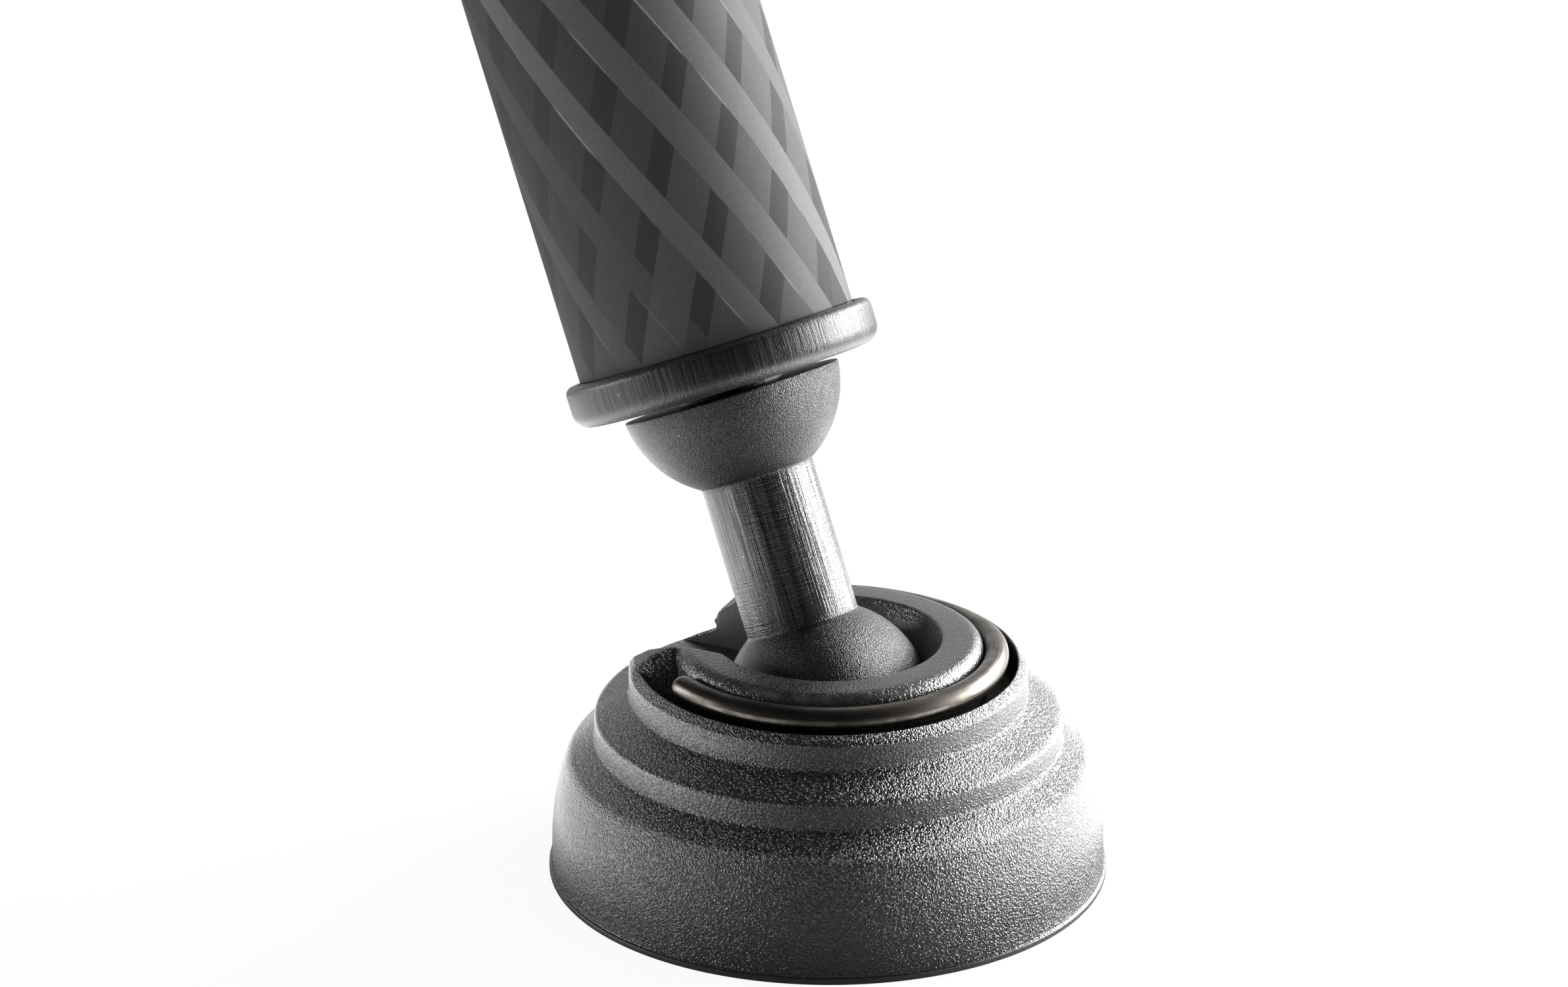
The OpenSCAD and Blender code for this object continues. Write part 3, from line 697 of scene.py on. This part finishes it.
def groove_closed(r, z, zone, phi, low, high):
    """Beside the slot a hump closes the groove, and a ramp leads from it down to the groove's floor."""
    way = np.clip((np.abs(phi) - RAMP_START) / (RAMP_END - RAMP_START), 0, 1)
    level = np.interp(r, HUMP[:, 0], HUMP[:, 1]) - RAMP_FALL * way**1.6
    rows = np.arange(len(r))
    lifted = (rows >= low) & (rows <= high) & (level > z) & (way < 1)
    return np.where(lifted, level, z), np.where(lifted, 0.9, zone)


def rear_lobe_cut(r, z, phi, start):
    """The lobe on the far side of the slot slopes down to its end, and its outer corner is rounded off."""
    away = np.clip(FULL_TURN - start - phi, 0, None) * r
    lowered = np.minimum(z, np.interp(r, REAR_LOBE[:, 0], REAR_LOBE[:, 1]) + LOBE_SLOPE * away)
    near_end = np.clip(1 - away / CORNER_RUN, 0, 1) ** 2
    high_up = np.clip((z - CORNER_Z) / 0.6, 0, 1)
    far_out = np.clip((r - CORNER_R) / 0.7, 0, 1)
    corner = CORNER_CUT * near_end * high_up * far_out
    return r - corner, np.where(z > LOBE_FLOOR, np.maximum(lowered, LOBE_FLOOR), z)


def edge_eased(r, z, first_z, inset):
    """The outline drawn in by inset for the slot's rounded edge; where it was reshaped it only goes down."""
    reshaped = np.abs(z - first_z) > 1e-6
    dr, dz = np.gradient(r), np.gradient(z)
    size = np.hypot(dr, dz) + 1e-9
    keep = inset * np.clip((z - SLOT_FLOOR) / 0.5, 0, 1)
    inward = np.where(reshaped, 0, keep * dz / size)
    down = keep * np.where(reshaped, 1, -dr / size)
    return r - inward, np.maximum(z - down, SLOT_FLOOR)


def collar_lean(points, far_drop):
    """The collar's far side sits a little lower than its near side."""
    far = np.clip((AWAY_X * points[..., 0] + AWAY_Y * points[..., 1]) / COLLAR_REACH, 0, 1)
    points[..., 2] -= far_drop * far * far * (3 - 2 * far)


def slot_columns():
    """Columns round the foot, wall to wall of the slot: (half width, inset of its edge, share of the way)."""
    near = np.cumsum(np.full(NEAR_COLUMNS, NEAR_STEP))
    far = np.linspace(near[-1], 1 - near[-1], FAR_COLUMNS)[1:-1]
    shares = np.concatenate([[0], near, far, 1 - near[::-1], [1]])
    turn = np.linspace(0, math.pi / 2, 6)[:-1]
    fillet = [(SLOT_HALF + SLOT_EDGE * (1 - math.cos(a)), SLOT_EDGE * (1 - math.sin(a))) for a in turn]
    columns = [(y, inset, 0.0) for y, inset in fillet]
    columns += [(SLOT_HALF + SLOT_EDGE, 0.0, share) for share in shares]
    return columns + [(y, inset, 1.0) for y, inset in fillet[::-1]]


def angle_round(y, r, share):
    """Angle where the slot's wall meets each row, and the angle of a column that share of the way round."""
    start = np.arcsin(np.clip(y / r, -1, 1))
    return start, start + share * (FULL_TURN - 2 * start)


def beside_slot(upper, columns):
    """Points and grain of the part of the foot that the slot opens."""
    low = int(np.argmax(upper[:, 1] > HUMP_FROM_Z))
    high = int(np.argmax((upper[:, 0] < HUMP_TO_R) & (upper[:, 1] > HUMP_TO_Z)))
    sheets, grain = [], []
    for y, inset, share in columns:
        r, z, _, zone = upper.T
        start, phi = angle_round(y, r, share)
        z, zone = groove_closed(r, z, zone, np.minimum(phi, FULL_TURN - phi), low, high)
        if share > 0.5:
            r, z = rear_lobe_cut(r, z, phi, start)
        if inset > 0:
            r, z = edge_eased(r, z, upper[:, 1], inset)
        start, phi = angle_round(y, r, share)
        sheets.append(polar(r, phi, z))
        grain.append(zone * min(1.0, 1.0 - inset / SLOT_EDGE))
    return np.array(sheets).transpose(1, 0, 2), np.array(grain).T


def whole_turn(line):
    """Angles of a row of points beside the slot, carried on across the slot."""
    across = np.linspace(-1, 1, SLOT_COLUMNS + 1)[1:-1]
    beside = np.unwrap(np.arctan2(line[:, 1], line[:, 0]))
    return np.concatenate([beside, FULL_TURN + across * math.atan2(line[0, 1], line[0, 0])])


def slot_wall(column, base):
    """The flat wall of the slot as one face, from a column of the foot and the slot floor's edge."""
    loop = np.concatenate([column, base[1:-1]])
    wall = bpy.data.meshes.new("foot_wall")
    wall.from_pydata(loop.tolist(), [], [list(range(len(loop)))])
    return wall


def foot_mesh():
    """The rubber foot with its groove, its socket and the slot that lets the rod tilt."""
    lower, upper, inner = (rounded(rows, False, 6) for rows in foot_rows())
    columns = slot_columns()
    count = len(columns)
    beside, grain = beside_slot(upper, columns)
    collar_start = int(np.argmax((upper[:, 0] < COLLAR_R + 0.003) & (upper[:, 1] > COLLAR_FROM_Z)))
    collar_end = int(np.argmax(upper[:, 0] < SOCKET_R + 0.02))
    collar_lean(beside[collar_start:collar_end], COLLAR_DROP)
    outer_phi, inner_phi = whole_turn(beside[0]), whole_turn(beside[-1])
    bottom_r, bottom_z, *bottom_marks = spun(lower, outer_phi)
    pocket_r, pocket_z, *pocket_marks = spun(inner, inner_phi)
    bottom, pocket = polar(bottom_r, outer_phi, bottom_z), polar(pocket_r, inner_phi, pocket_z)
    outer_line = np.concatenate([beside[:1, -1], bottom[-1, count:], beside[:1, 0]])
    inner_line = np.concatenate([beside[-1:, -1], pocket[0, count:], beside[-1:, 0]])
    steps = np.linspace(0, 1, SLOT_ROWS)[:, None, None]
    slot_floor = outer_line[None] * (1 - steps) + inner_line[None] * steps
    slot_floor[:, :, 2] = SLOT_FLOOR
    blank = np.zeros(slot_floor.shape[:2])
    sheets = (
        ("foot", bottom, *bottom_marks, True),
        ("foot_side", beside, np.repeat(upper[:, 2:3], count, 1), grain, False),
        ("foot_pocket", pocket, *pocket_marks, True),
        ("foot_slot", slot_floor, blank, blank + 0.15, False),
    )
    meshes = []
    for label, points, edge, zone, wrap in sheets:
        meshes.append(grid_mesh(label, points, edge, zone, False, wrap, points[:, :, 2] * MM))
    meshes.append(slot_wall(beside[:, 0], slot_floor[::-1, -1]))
    meshes.append(slot_wall(beside[:, -1], slot_floor[::-1, 0]))
    bm = bmesh.new()
    for mesh in meshes:
        bm.from_mesh(mesh)
    bmesh.ops.remove_doubles(bm, verts=bm.verts, dist=WELD)
    bmesh.ops.triangulate(bm, faces=[face for face in bm.faces if len(face.verts) > 4])
    bm.to_mesh(meshes[0])
    bm.free()
    meshes[0].transform(TO_METRES @ Matrix.Rotation(SLOT_DIR, 4, "Z"))
    finish_mesh(meshes[0], 50)
    return meshes[0]


def spring_ring_mesh():
    """Round wire bent to an open ring, its ends rounded off; its far side sits lower."""
    ring_r, wire_r, height, opening = 14.897, 1.1, BALL_Z + 5.03, math.radians(59)
    sides, far_drop = 32, 0.75
    cap = np.linspace(0, math.pi / 2, 9)
    body = np.linspace(opening, FULL_TURN - opening, 181)[1:-1]
    start = opening - wire_r * np.cos(cap) / ring_r
    angle = np.concatenate([start, body, FULL_TURN - start[::-1]])
    width = np.concatenate([np.sin(cap), np.ones(len(body)), np.sin(cap[::-1])])
    round_the_wire = np.linspace(0, FULL_TURN, sides, endpoint=False)
    r = ring_r + wire_r * width[:, None] * np.cos(round_the_wire)
    z = height + wire_r * width[:, None] * np.sin(round_the_wire)
    points = polar(r, angle[:, None], z)
    collar_lean(points, far_drop)
    blank = np.zeros(points.shape[:2])
    along = np.repeat(angle[:, None], sides, 1) * ring_r * MM
    mesh = grid_mesh("spring_ring", points, blank, blank, False, True, along)
    mesh.transform(TO_METRES @ Matrix.Rotation(SLOT_DIR, 4, "Z"))
    finish_mesh(mesh, 60)
    return mesh


piece("rubber_foot", foot_mesh(), "foot", ["foot_body"], FOOT_RUBBER)
piece("spring_wire_ring", spring_ring_mesh(), "foot", ["spring_ring"], SPRING_STEEL)

# Ball, rod and dome in one piece, then the collar that closes the tube's end

ball_top = math.degrees(math.acos(ROD_R / BALL_R))
ball = arc(0, BALL_R, -90, ball_top, 36)
ball[-1] = (*ball[-1][:2], 0.3, 0.4)
rod = [(ROD_R, 8.4, 0, 1.0), (ROD_R, 20.9, 0, 1.0)]
dome_low = -math.degrees(math.acos(ROD_R / DOME_R))
dome_high = math.degrees(math.asin((STUD_S - DOME_S) / DOME_R))
dome = arc(DOME_S, DOME_R, dome_low, dome_high, 30)
dome[0] = (*dome[0][:2], 0.3, 0.4)
dome[-1] = (*dome[-1][:2], 0.15)
hole_r, hole_end = SCREW_R + FIT, STUD_S - 9
hole = [(hole_r, STUD_S), (hole_r, hole_end), (0, hole_end)]
stud_mesh = turned("ball_rod", ball + rod + dome + hole, closed=False, columns=160)
piece("ball_rod_and_dome", stud_mesh, "stud", ["ball_stud"], STUD_METAL)

tube, top = TUBE_R[4], TUBE_S[4]
plug = tube - TUBE_WALL - FIT
collar = [
    (hole_r, FLANGE_S), (FLANGE_R, FLANGE_S, 1.5), (FLANGE_R, top, 0.7),
    (tube + 0.30, top, 0.08), (tube + 0.18, top - 0.3), (tube + 0.02, top - 0.3), (tube - 0.1, top),
    (plug, top), (plug, top + 18, 0.7), (hole_r, top + 18),
]
collar_mesh = turned("end_collar", collar, columns=192)
piece("tube_end_collar", collar_mesh, "leg_4", ["end_collar"], BLACK_METAL)

# Tubes and twist locks, from the foot up

for k in (4, 3, 2, 1):
    out, low, high = TUBE_R[k], TUBE_S[k], TUBE_S[k] + TUBE_L[k]
    bore = out - TUBE_WALL
    wall = [(bore, low, 0.2), (out, low, 0.2), (out, high, 0.2), (bore, high, 0.2)]
    tube_mesh = turned("tube", wall, columns=192)
    piece(f"carbon_tube_{k}", tube_mesh, f"leg_{k}", [f"tube_{k}"], CARBON)

LOCK_FLUTES, PLATE_FLUTES = 18, 24

for k in (3, 2, 1):
    end = TUBE_S[k]
    out = TUBE_R[k] + 1.6
    hold, bore = TUBE_R[k + 1] + 0.1 + 1.2 + FIT, TUBE_R[k] + FIT
    sleeve = [
        (hold, end - 9), (out, end - 9),
        (out, end + 16.4), (out - 0.25, end + 16.7), (out, end + 17.0),
        (out, end + 20, 0.7), (bore, end + 20), (bore, end), (hold, end),
    ]
    ferrule = turned("ferrule", sleeve)
    piece(f"tube_ferrule_{k}", ferrule, f"leg_{k}", [f"ferrule_{k}"], BLACK_METAL)
    inner, outer, lip = out + 0.1, out + 1.7, TUBE_R[k + 1] + 0.4
    low, high = end - 18, end + 12
    ring = [
        (lip, low), (outer, low, 0.7), (outer, high, 0.7), (inner, high, 0.15),
        (inner, low + 3), (lip, low + 3),
        (lip, low + 2.3), (lip + 1.2, low + 2.3), (lip + 1.2, low + 0.7), (lip, low + 0.7),
    ]
    lock = turned("lock_ring", ring)
    piece(f"lock_sleeve_{k}", lock, f"lock_{k}", [f"lock_ring_{k}"], BLACK_METAL)
    rim = outer + 1.5
    low, high = end - 16.5, end + 10.5
    cover = [
        (outer + FIT, low), (rim - 0.7, low, 0.15, 0.6), (rim, low + 0.7, 0.5, 1), (rim, end - 3, 0, 1),
        (rim, high - 0.7, 0.5, 1), (rim - 0.7, high, 0.15, 0.6), (outer + FIT, high),
    ]
    step = FULL_TURN / LOCK_FLUTES
    cell = turned("grip_cell", cover, TO_METRES, columns=16, span=step, wave=flutes(rim))
    grip = repeated("lock_grip", cell, GRIP_RUBBER, LOCK_FLUTES, turn=step)
    piece(f"lock_rubber_{k}", grip, f"lock_{k}", [f"lock_grip_{k}"], GRIP_RUBBER)

# Hand grip and head

GRIP_RINGS, GRIP_PITCH = 14, 10
grip_in, grip_out = TUBE_R[1] + FIT, TUBE_R[1] + 3.2
grip_low, grip_high = HEAD_S - 151, HEAD_S - 1
first = grip_low + GRIP_PITCH
cell_line = [
    (grip_out, -5), (grip_out, -1.0, 0.35), (grip_out - 0.9, 0, 0.3), (grip_out, 1.0, 0.35), (grip_out, 5),
]
cell = turned("ring_cell", cell_line, TO_METRES, closed=False)
sleeve = repeated("hand_grip", cell, GRIP_RUBBER, GRIP_RINGS, rise=GRIP_PITCH, start=first)
ends = [
    (grip_out, first - 5), (grip_out, grip_low, 0.7), (grip_in, grip_low),
    (grip_in, grip_high), (grip_out, grip_high, 0.7), (grip_out, first + GRIP_PITCH * GRIP_RINGS - 5),
]
sleeve = joined(sleeve, turned("grip_ends", ends, closed=False))
piece("hand_grip_sleeve", sleeve, "leg_1", ["hand_grip"], GRIP_RUBBER)

trim_r, trim_high = grip_out + 0.4, grip_low - FIT
trim_low = trim_high - 6
trim = [(grip_in, trim_low), (trim_r, trim_low, 2.0), (trim_r, trim_high, 0.3), (grip_in, trim_high)]
piece("grip_end_ring", turned("trim", trim), "leg_1", ["grip_trim_ring"], BLACK_METAL)

way, plug, seat, head_r, neck_r = 3.575, TUBE_R[1] - TUBE_WALL - FIT, 8.54, 22.2, 15
h = HEAD_S
head = [
    (way, h - 30), (plug, h - 30, 0.7), (plug, h),
    (head_r, h, 0.3), (head_r, h + 2.2), (21.9, h + 2.5), (head_r, h + 2.8), (head_r, h + 7, 0.7),
    (neck_r, h + 7, 0.3), (neck_r, h + 10.2), (seat, h + 10.2), (seat, h + 8.16), (way, h + 8.16),
]
head_mesh = turned("head", head, columns=160)
piece("head_body", head_mesh, "leg_1", ["head_casting"], BLACK_METAL)

plate_r, plate_low, plate_high = 29.0, HEAD_S + 10.2, HEAD_S + 17.2
plate = [
    (hole_r, plate_low), (24.5, plate_low),
    (plate_r - 0.7, plate_low, 0.15, 1), (plate_r, plate_low + 0.7, 0.3, 1),
    (plate_r, plate_high - 0.7, 0.3, 1), (plate_r - 0.7, plate_high, 0.15, 1),
    (26.8, plate_high), (hole_r, plate_high),
]
step = FULL_TURN / PLATE_FLUTES
cell = turned("plate_cell", plate, TO_METRES, columns=12, span=step, wave=flutes(plate_r))
plate_mesh = repeated("camera_plate", cell, BLACK_METAL, PLATE_FLUTES, turn=step)
piece("camera_platform", plate_mesh, "leg_1", ["camera_plate"], BLACK_METAL)

pad_r, pad_bore, pad_high = 26.5, SCREW_R + 0.4, plate_high + 1.5
cut = 0.35
pad = [(pad_bore, plate_high), (pad_r, plate_high), (pad_r, pad_high, 0.3)]
for groove in np.arange(24.5, 9, -2.0):
    pad += [(groove + cut, pad_high, 0.1), (groove, pad_high - cut, 0.1), (groove - cut, pad_high, 0.1)]
pad += [(pad_bore, pad_high, 0.2)]
pad_mesh = turned("pad", pad, columns=160)
piece("platform_pad", pad_mesh, "leg_1", ["plate_pad"], GRIP_RUBBER)


def camera_screw_mesh():
    """Screw with a cut thread above the pad, a flange under the plate and a smaller reversed end."""
    pitch, minor, slices, length = 1.5875, 4.05, 36, 10
    bottom, tip = pad_high, pad_high + length
    shape = [(minor, -pitch / 2), (SCREW_R, -pitch / 14), (SCREW_R, pitch / 14), (minor, pitch / 2)]
    turn = FULL_TURN / slices
    points = np.array([
        [(r * math.cos(a), r * math.sin(a), s + pitch * a / FULL_TURN) for a in (0.0, turn)] for r, s in shape
    ])
    blank = np.zeros(points.shape[:2])
    cell = grid_mesh("thread_cell", points * MM, blank, blank, False, False, points[:, :, 2] * MM)
    count = int(slices * (length / pitch + 1))
    rise, start = pitch / slices, bottom - pitch / 2
    thread = repeated("camera_screw", cell, PLAIN_STEEL, count, rise=rise, turn=turn, start=start)
    back = ON_LEG.inverted()
    for v in thread.vertices:
        p = back @ v.co
        p.z = min(max(p.z, bottom - 0.4), tip - 0.02)
        room = SCREW_R - max(0.0, p.z - (tip - 0.9))
        r = math.hypot(p.x, p.y)
        if r > room:
            p.x, p.y = p.x * room / r, p.y * room / r
        v.co = ON_LEG @ p
    low, flange_r, stem_r, end_r = plate_low - 2, 8.5, SCREW_R - 0.4, 3.175
    high = low + 2 - FIT
    stem = [
        (0, low - 12), (2.7, low - 12), (end_r, low - 11.4), (end_r, low),
        (flange_r, low, 0.3), (flange_r, high, 0.3), (stem_r, high), (stem_r, bottom - 0.2),
        (minor - 0.02, bottom), (minor - 0.1, tip - 0.05), (3.3, tip, 0.1), (1.2, tip), (0, tip - 0.7),
    ]
    return joined(thread, turned("screw_stem", stem, closed=False, columns=72))


piece("camera_thread_screw", camera_screw_mesh(), "leg_1", ["camera_screw"], PLAIN_STEEL)


def strap_ring_mesh():
    """Stamped ring with an eye, its edges broken."""
    inner, outer, eye_x, eye_r, eye_out, thick, edge = 15.4, 19.9, 32.6, 2.6, 5.6, 2.4, 0.3
    half = math.asin(eye_out / outer)
    body = np.linspace(-math.pi + half, math.pi - half, 97)
    tip = np.linspace(math.pi / 2, 3 * math.pi / 2, 25)
    circle = np.linspace(0, FULL_TURN, 96, endpoint=False)

    def bow(x, r, angles):
        return [(x + r * math.cos(a), r * math.sin(a)) for a in angles]

    outline = bow(0, outer, body) + bow(-eye_x, eye_out, tip)
    flat = bpy.data.curves.new("strap_ring", "CURVE")
    flat.dimensions, flat.fill_mode = "2D", "BOTH"
    flat.extrude, flat.offset = thick / 2 - edge, -edge
    flat.bevel_depth, flat.bevel_resolution = edge, 2
    for loop in (outline, bow(0, inner, circle), bow(-eye_x, eye_r, circle[::3])):
        spline = flat.splines.new("POLY")
        spline.points.add(len(loop) - 1)
        spline.use_cyclic_u = True
        for point, (x, y) in zip(spline.points, loop):
            point.co = (x, y, 0, 1)
    mesh = taken_from(placed("strap_ring_outline", flat))
    mesh.transform(ON_LEG @ Matrix.Translation((0, 0, HEAD_S + 7.4 + thick / 2)))
    finish_mesh(mesh, 35)
    return mesh


piece("wrist_strap_ring", strap_ring_mesh(), "strap", ["strap_ring"], PLAIN_STEEL)

# CAD nodes that stay: inner pieces get their finish

for name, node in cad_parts.items():
    if node.hide_render:
        continue
    finish = PLAIN_STEEL
    if name.startswith(("guide_sleeve", "collet", "ball_seat")):
        finish = SEAT_PLASTIC
    elif name.startswith("dust_seal"):
        finish = GRIP_RUBBER
    elif name == "foot_screw":
        finish = BLACK_METAL
    node.data.materials.clear()
    node.data.materials.append(finish)

# Camera at the photograph's place

PHOTO_W = 2383
FOCAL_PX = 8451.43
SHIFT_PX = -3
SENSOR = 36
CAMERA_AT = (0.31704, -0.32443, 0.21291)
RIGHT = Vector((0.7094, 0.7048, 0)).normalized()
AHEAD = Vector((-0.6564, 0.6607, -0.3642)).normalized()
UP = RIGHT.cross(AHEAD)
lens = bpy.data.cameras.new("camera")
lens.sensor_width, lens.lens = SENSOR, SENSOR * FOCAL_PX / PHOTO_W
lens.clip_start, lens.clip_end = 0.01, 50
lens.shift_x = SHIFT_PX / PHOTO_W
camera = placed("camera", lens)
camera.matrix_world = Matrix.Translation(CAMERA_AT) @ Matrix((RIGHT, UP, -AHEAD)).transposed().to_4x4()
bpy.context.scene.camera = camera

# Floor, backdrop light and soft boxes


FLOOR_HALF = 3


def floor():
    """A pale floor: white to the camera; in reflections it glows with painted light beside and behind the
    foot, less on the left, with a painted shadow in front of the foot.
    """
    mesh = bpy.data.meshes.new("floor")
    sides = ((-1, -1), (1, -1), (1, 1), (-1, 1))
    corners = [(x * FLOOR_HALF, y * FLOOR_HALF, 0) for x, y in sides]
    mesh.from_pydata(corners, [], [(0, 1, 2, 3)])
    ground = placed("floor", mesh)
    material = bpy.data.materials.new("pale_floor")
    b = emptied(material)
    ray = b.add("ShaderNodeLightPath")
    seen_directly = ray["Is Camera Ray"]
    pale = b.times_plus(seen_directly, 0.60, 0.24)
    tint = b.add("ShaderNodeCombineColor", {0: pale, 1: pale, 2: pale})[0]
    matt = b.add("ShaderNodeBsdfDiffuse", {"Color": tint})[0]
    white = b.add("ShaderNodeEmission", {"Color": (1, 1, 1, 1), "Strength": 1.0})[0]
    place = b.add("ShaderNodeTexCoord")["Object"]
    # Painted light for reflections: bright beside and behind the foot, 0.6 as bright on the left, with a
    # painted shadow in front of the foot.
    aside = b.vector("DOT_PRODUCT", place, tuple(RIGHT))["Value"]
    front = b.vector("DOT_PRODUCT", place, (-AHEAD.x, -AHEAD.y, 0))["Value"]
    painted_light_and_shadow = b.spread(b.times_plus(front, -0.7, b.math("ABSOLUTE", aside)), 0.010, 0.055, 0.05, 1.0)
    painted_light_and_shadow = b.times(painted_light_and_shadow, b.spread(aside, -0.03, 0.03, 0.6, 1.0))
    away = b.add("ShaderNodeVectorMath", {0: place}, operation="LENGTH")["Value"]
    shown = b.times(seen_directly, b.spread(away, 0.08, 0.45, 0.93, 1.0))
    seen = b.math("MAXIMUM", shown, b.times(ray["Is Glossy Ray"], painted_light_and_shadow))
    seen = b.math("MAXIMUM", seen, ray["Is Transmission Ray"])
    both = b.add("ShaderNodeMixShader", {0: seen, 1: matt, 2: white})
    b.add("ShaderNodeOutputMaterial", {"Surface": both[0]})
    mesh.materials.append(material)


def backdrop():
    """White surroundings: full to the camera, from behind in reflections, about half as fill light."""
    world = bpy.data.worlds.new("studio")
    b = emptied(world)
    ray = b.add("ShaderNodeLightPath")
    way = b.add("ShaderNodeTexCoord")["Generated"]
    toward = AHEAD * 0.8 + RIGHT * 0.45
    facing = b.vector("DOT_PRODUCT", way, (toward.x, toward.y, -0.35))["Value"]
    behind = b.spread(facing, -0.05, 0.50, 0.03, 1.0)
    shown = b.math("MAXIMUM", ray["Is Camera Ray"], ray["Is Transmission Ray"])
    mirrored = b.times(ray["Is Glossy Ray"], behind)
    ambient = b.times(ray["Is Diffuse Ray"], 0.52)
    level = b.math("MAXIMUM", b.math("MAXIMUM", shown, mirrored), ambient)
    light = b.add("ShaderNodeBackground", {"Color": (1, 1, 1, 1), "Strength": level})
    b.add("ShaderNodeOutputWorld", {"Surface": light[0]})
    world.cycles.sampling_method = "NONE"
    bpy.context.scene.world = world


def area_lamp(name, width, height, power):
    """A rectangular lamp that the camera itself does not see."""
    lamp = bpy.data.lights.new(name, "AREA")
    lamp.shape, lamp.size, lamp.size_y, lamp.energy = "RECTANGLE", width, height, power
    holder = placed(name, lamp)
    holder.visible_camera = False
    return holder


def bearing(swing):
    """The direction over the floor that lies swing degrees to the right of the camera, as an angle."""
    return math.atan2(-AHEAD.y, -AHEAD.x) + math.radians(swing)


def soft_box(name, swing, lift, distance, width, height, power):
    """A lamp facing the foot from the bearing swing, lift degrees above the horizon."""
    turn, lift = bearing(swing), math.radians(lift)
    way = Vector((math.cos(turn) * math.cos(lift), math.sin(turn) * math.cos(lift), math.sin(lift)))
    holder = area_lamp(name, width, height, power)
    holder.location = Vector((0, 0, 0.03)) + way * distance
    holder.rotation_euler = way.to_track_quat("Z", "Y").to_euler()


def white_card(name, swing, start, depth, length, power):
    """A lit card lying on the floor beside the foot, from start outwards."""
    turn = bearing(swing)
    out = Vector((math.cos(turn), math.sin(turn), 0))
    side = Vector((0, 0, -1)).cross(out)
    holder = area_lamp(name, depth, length, power)
    holder.matrix_world = Matrix((out, side, (0, 0, -1))).transposed().to_4x4()
    holder.location = out * (start + depth / 2) + Vector((0, 0, 0.0005))


floor()
backdrop()
soft_box("right_box", swing=108, lift=8, distance=0.60, width=0.34, height=0.24, power=8.2)
soft_box("back_box", swing=128, lift=21, distance=0.70, width=0.40, height=0.30, power=9.0)
white_card("right_card", swing=98, start=0.029, depth=0.075, length=0.15, power=0.12)
soft_box("left_box", swing=-96, lift=3, distance=0.50, width=0.20, height=0.16, power=1.3)
white_card("left_card", swing=-92, start=0.028, depth=0.10, length=0.17, power=0.105)

bpy.context.scene.view_settings.view_transform = "Standard"
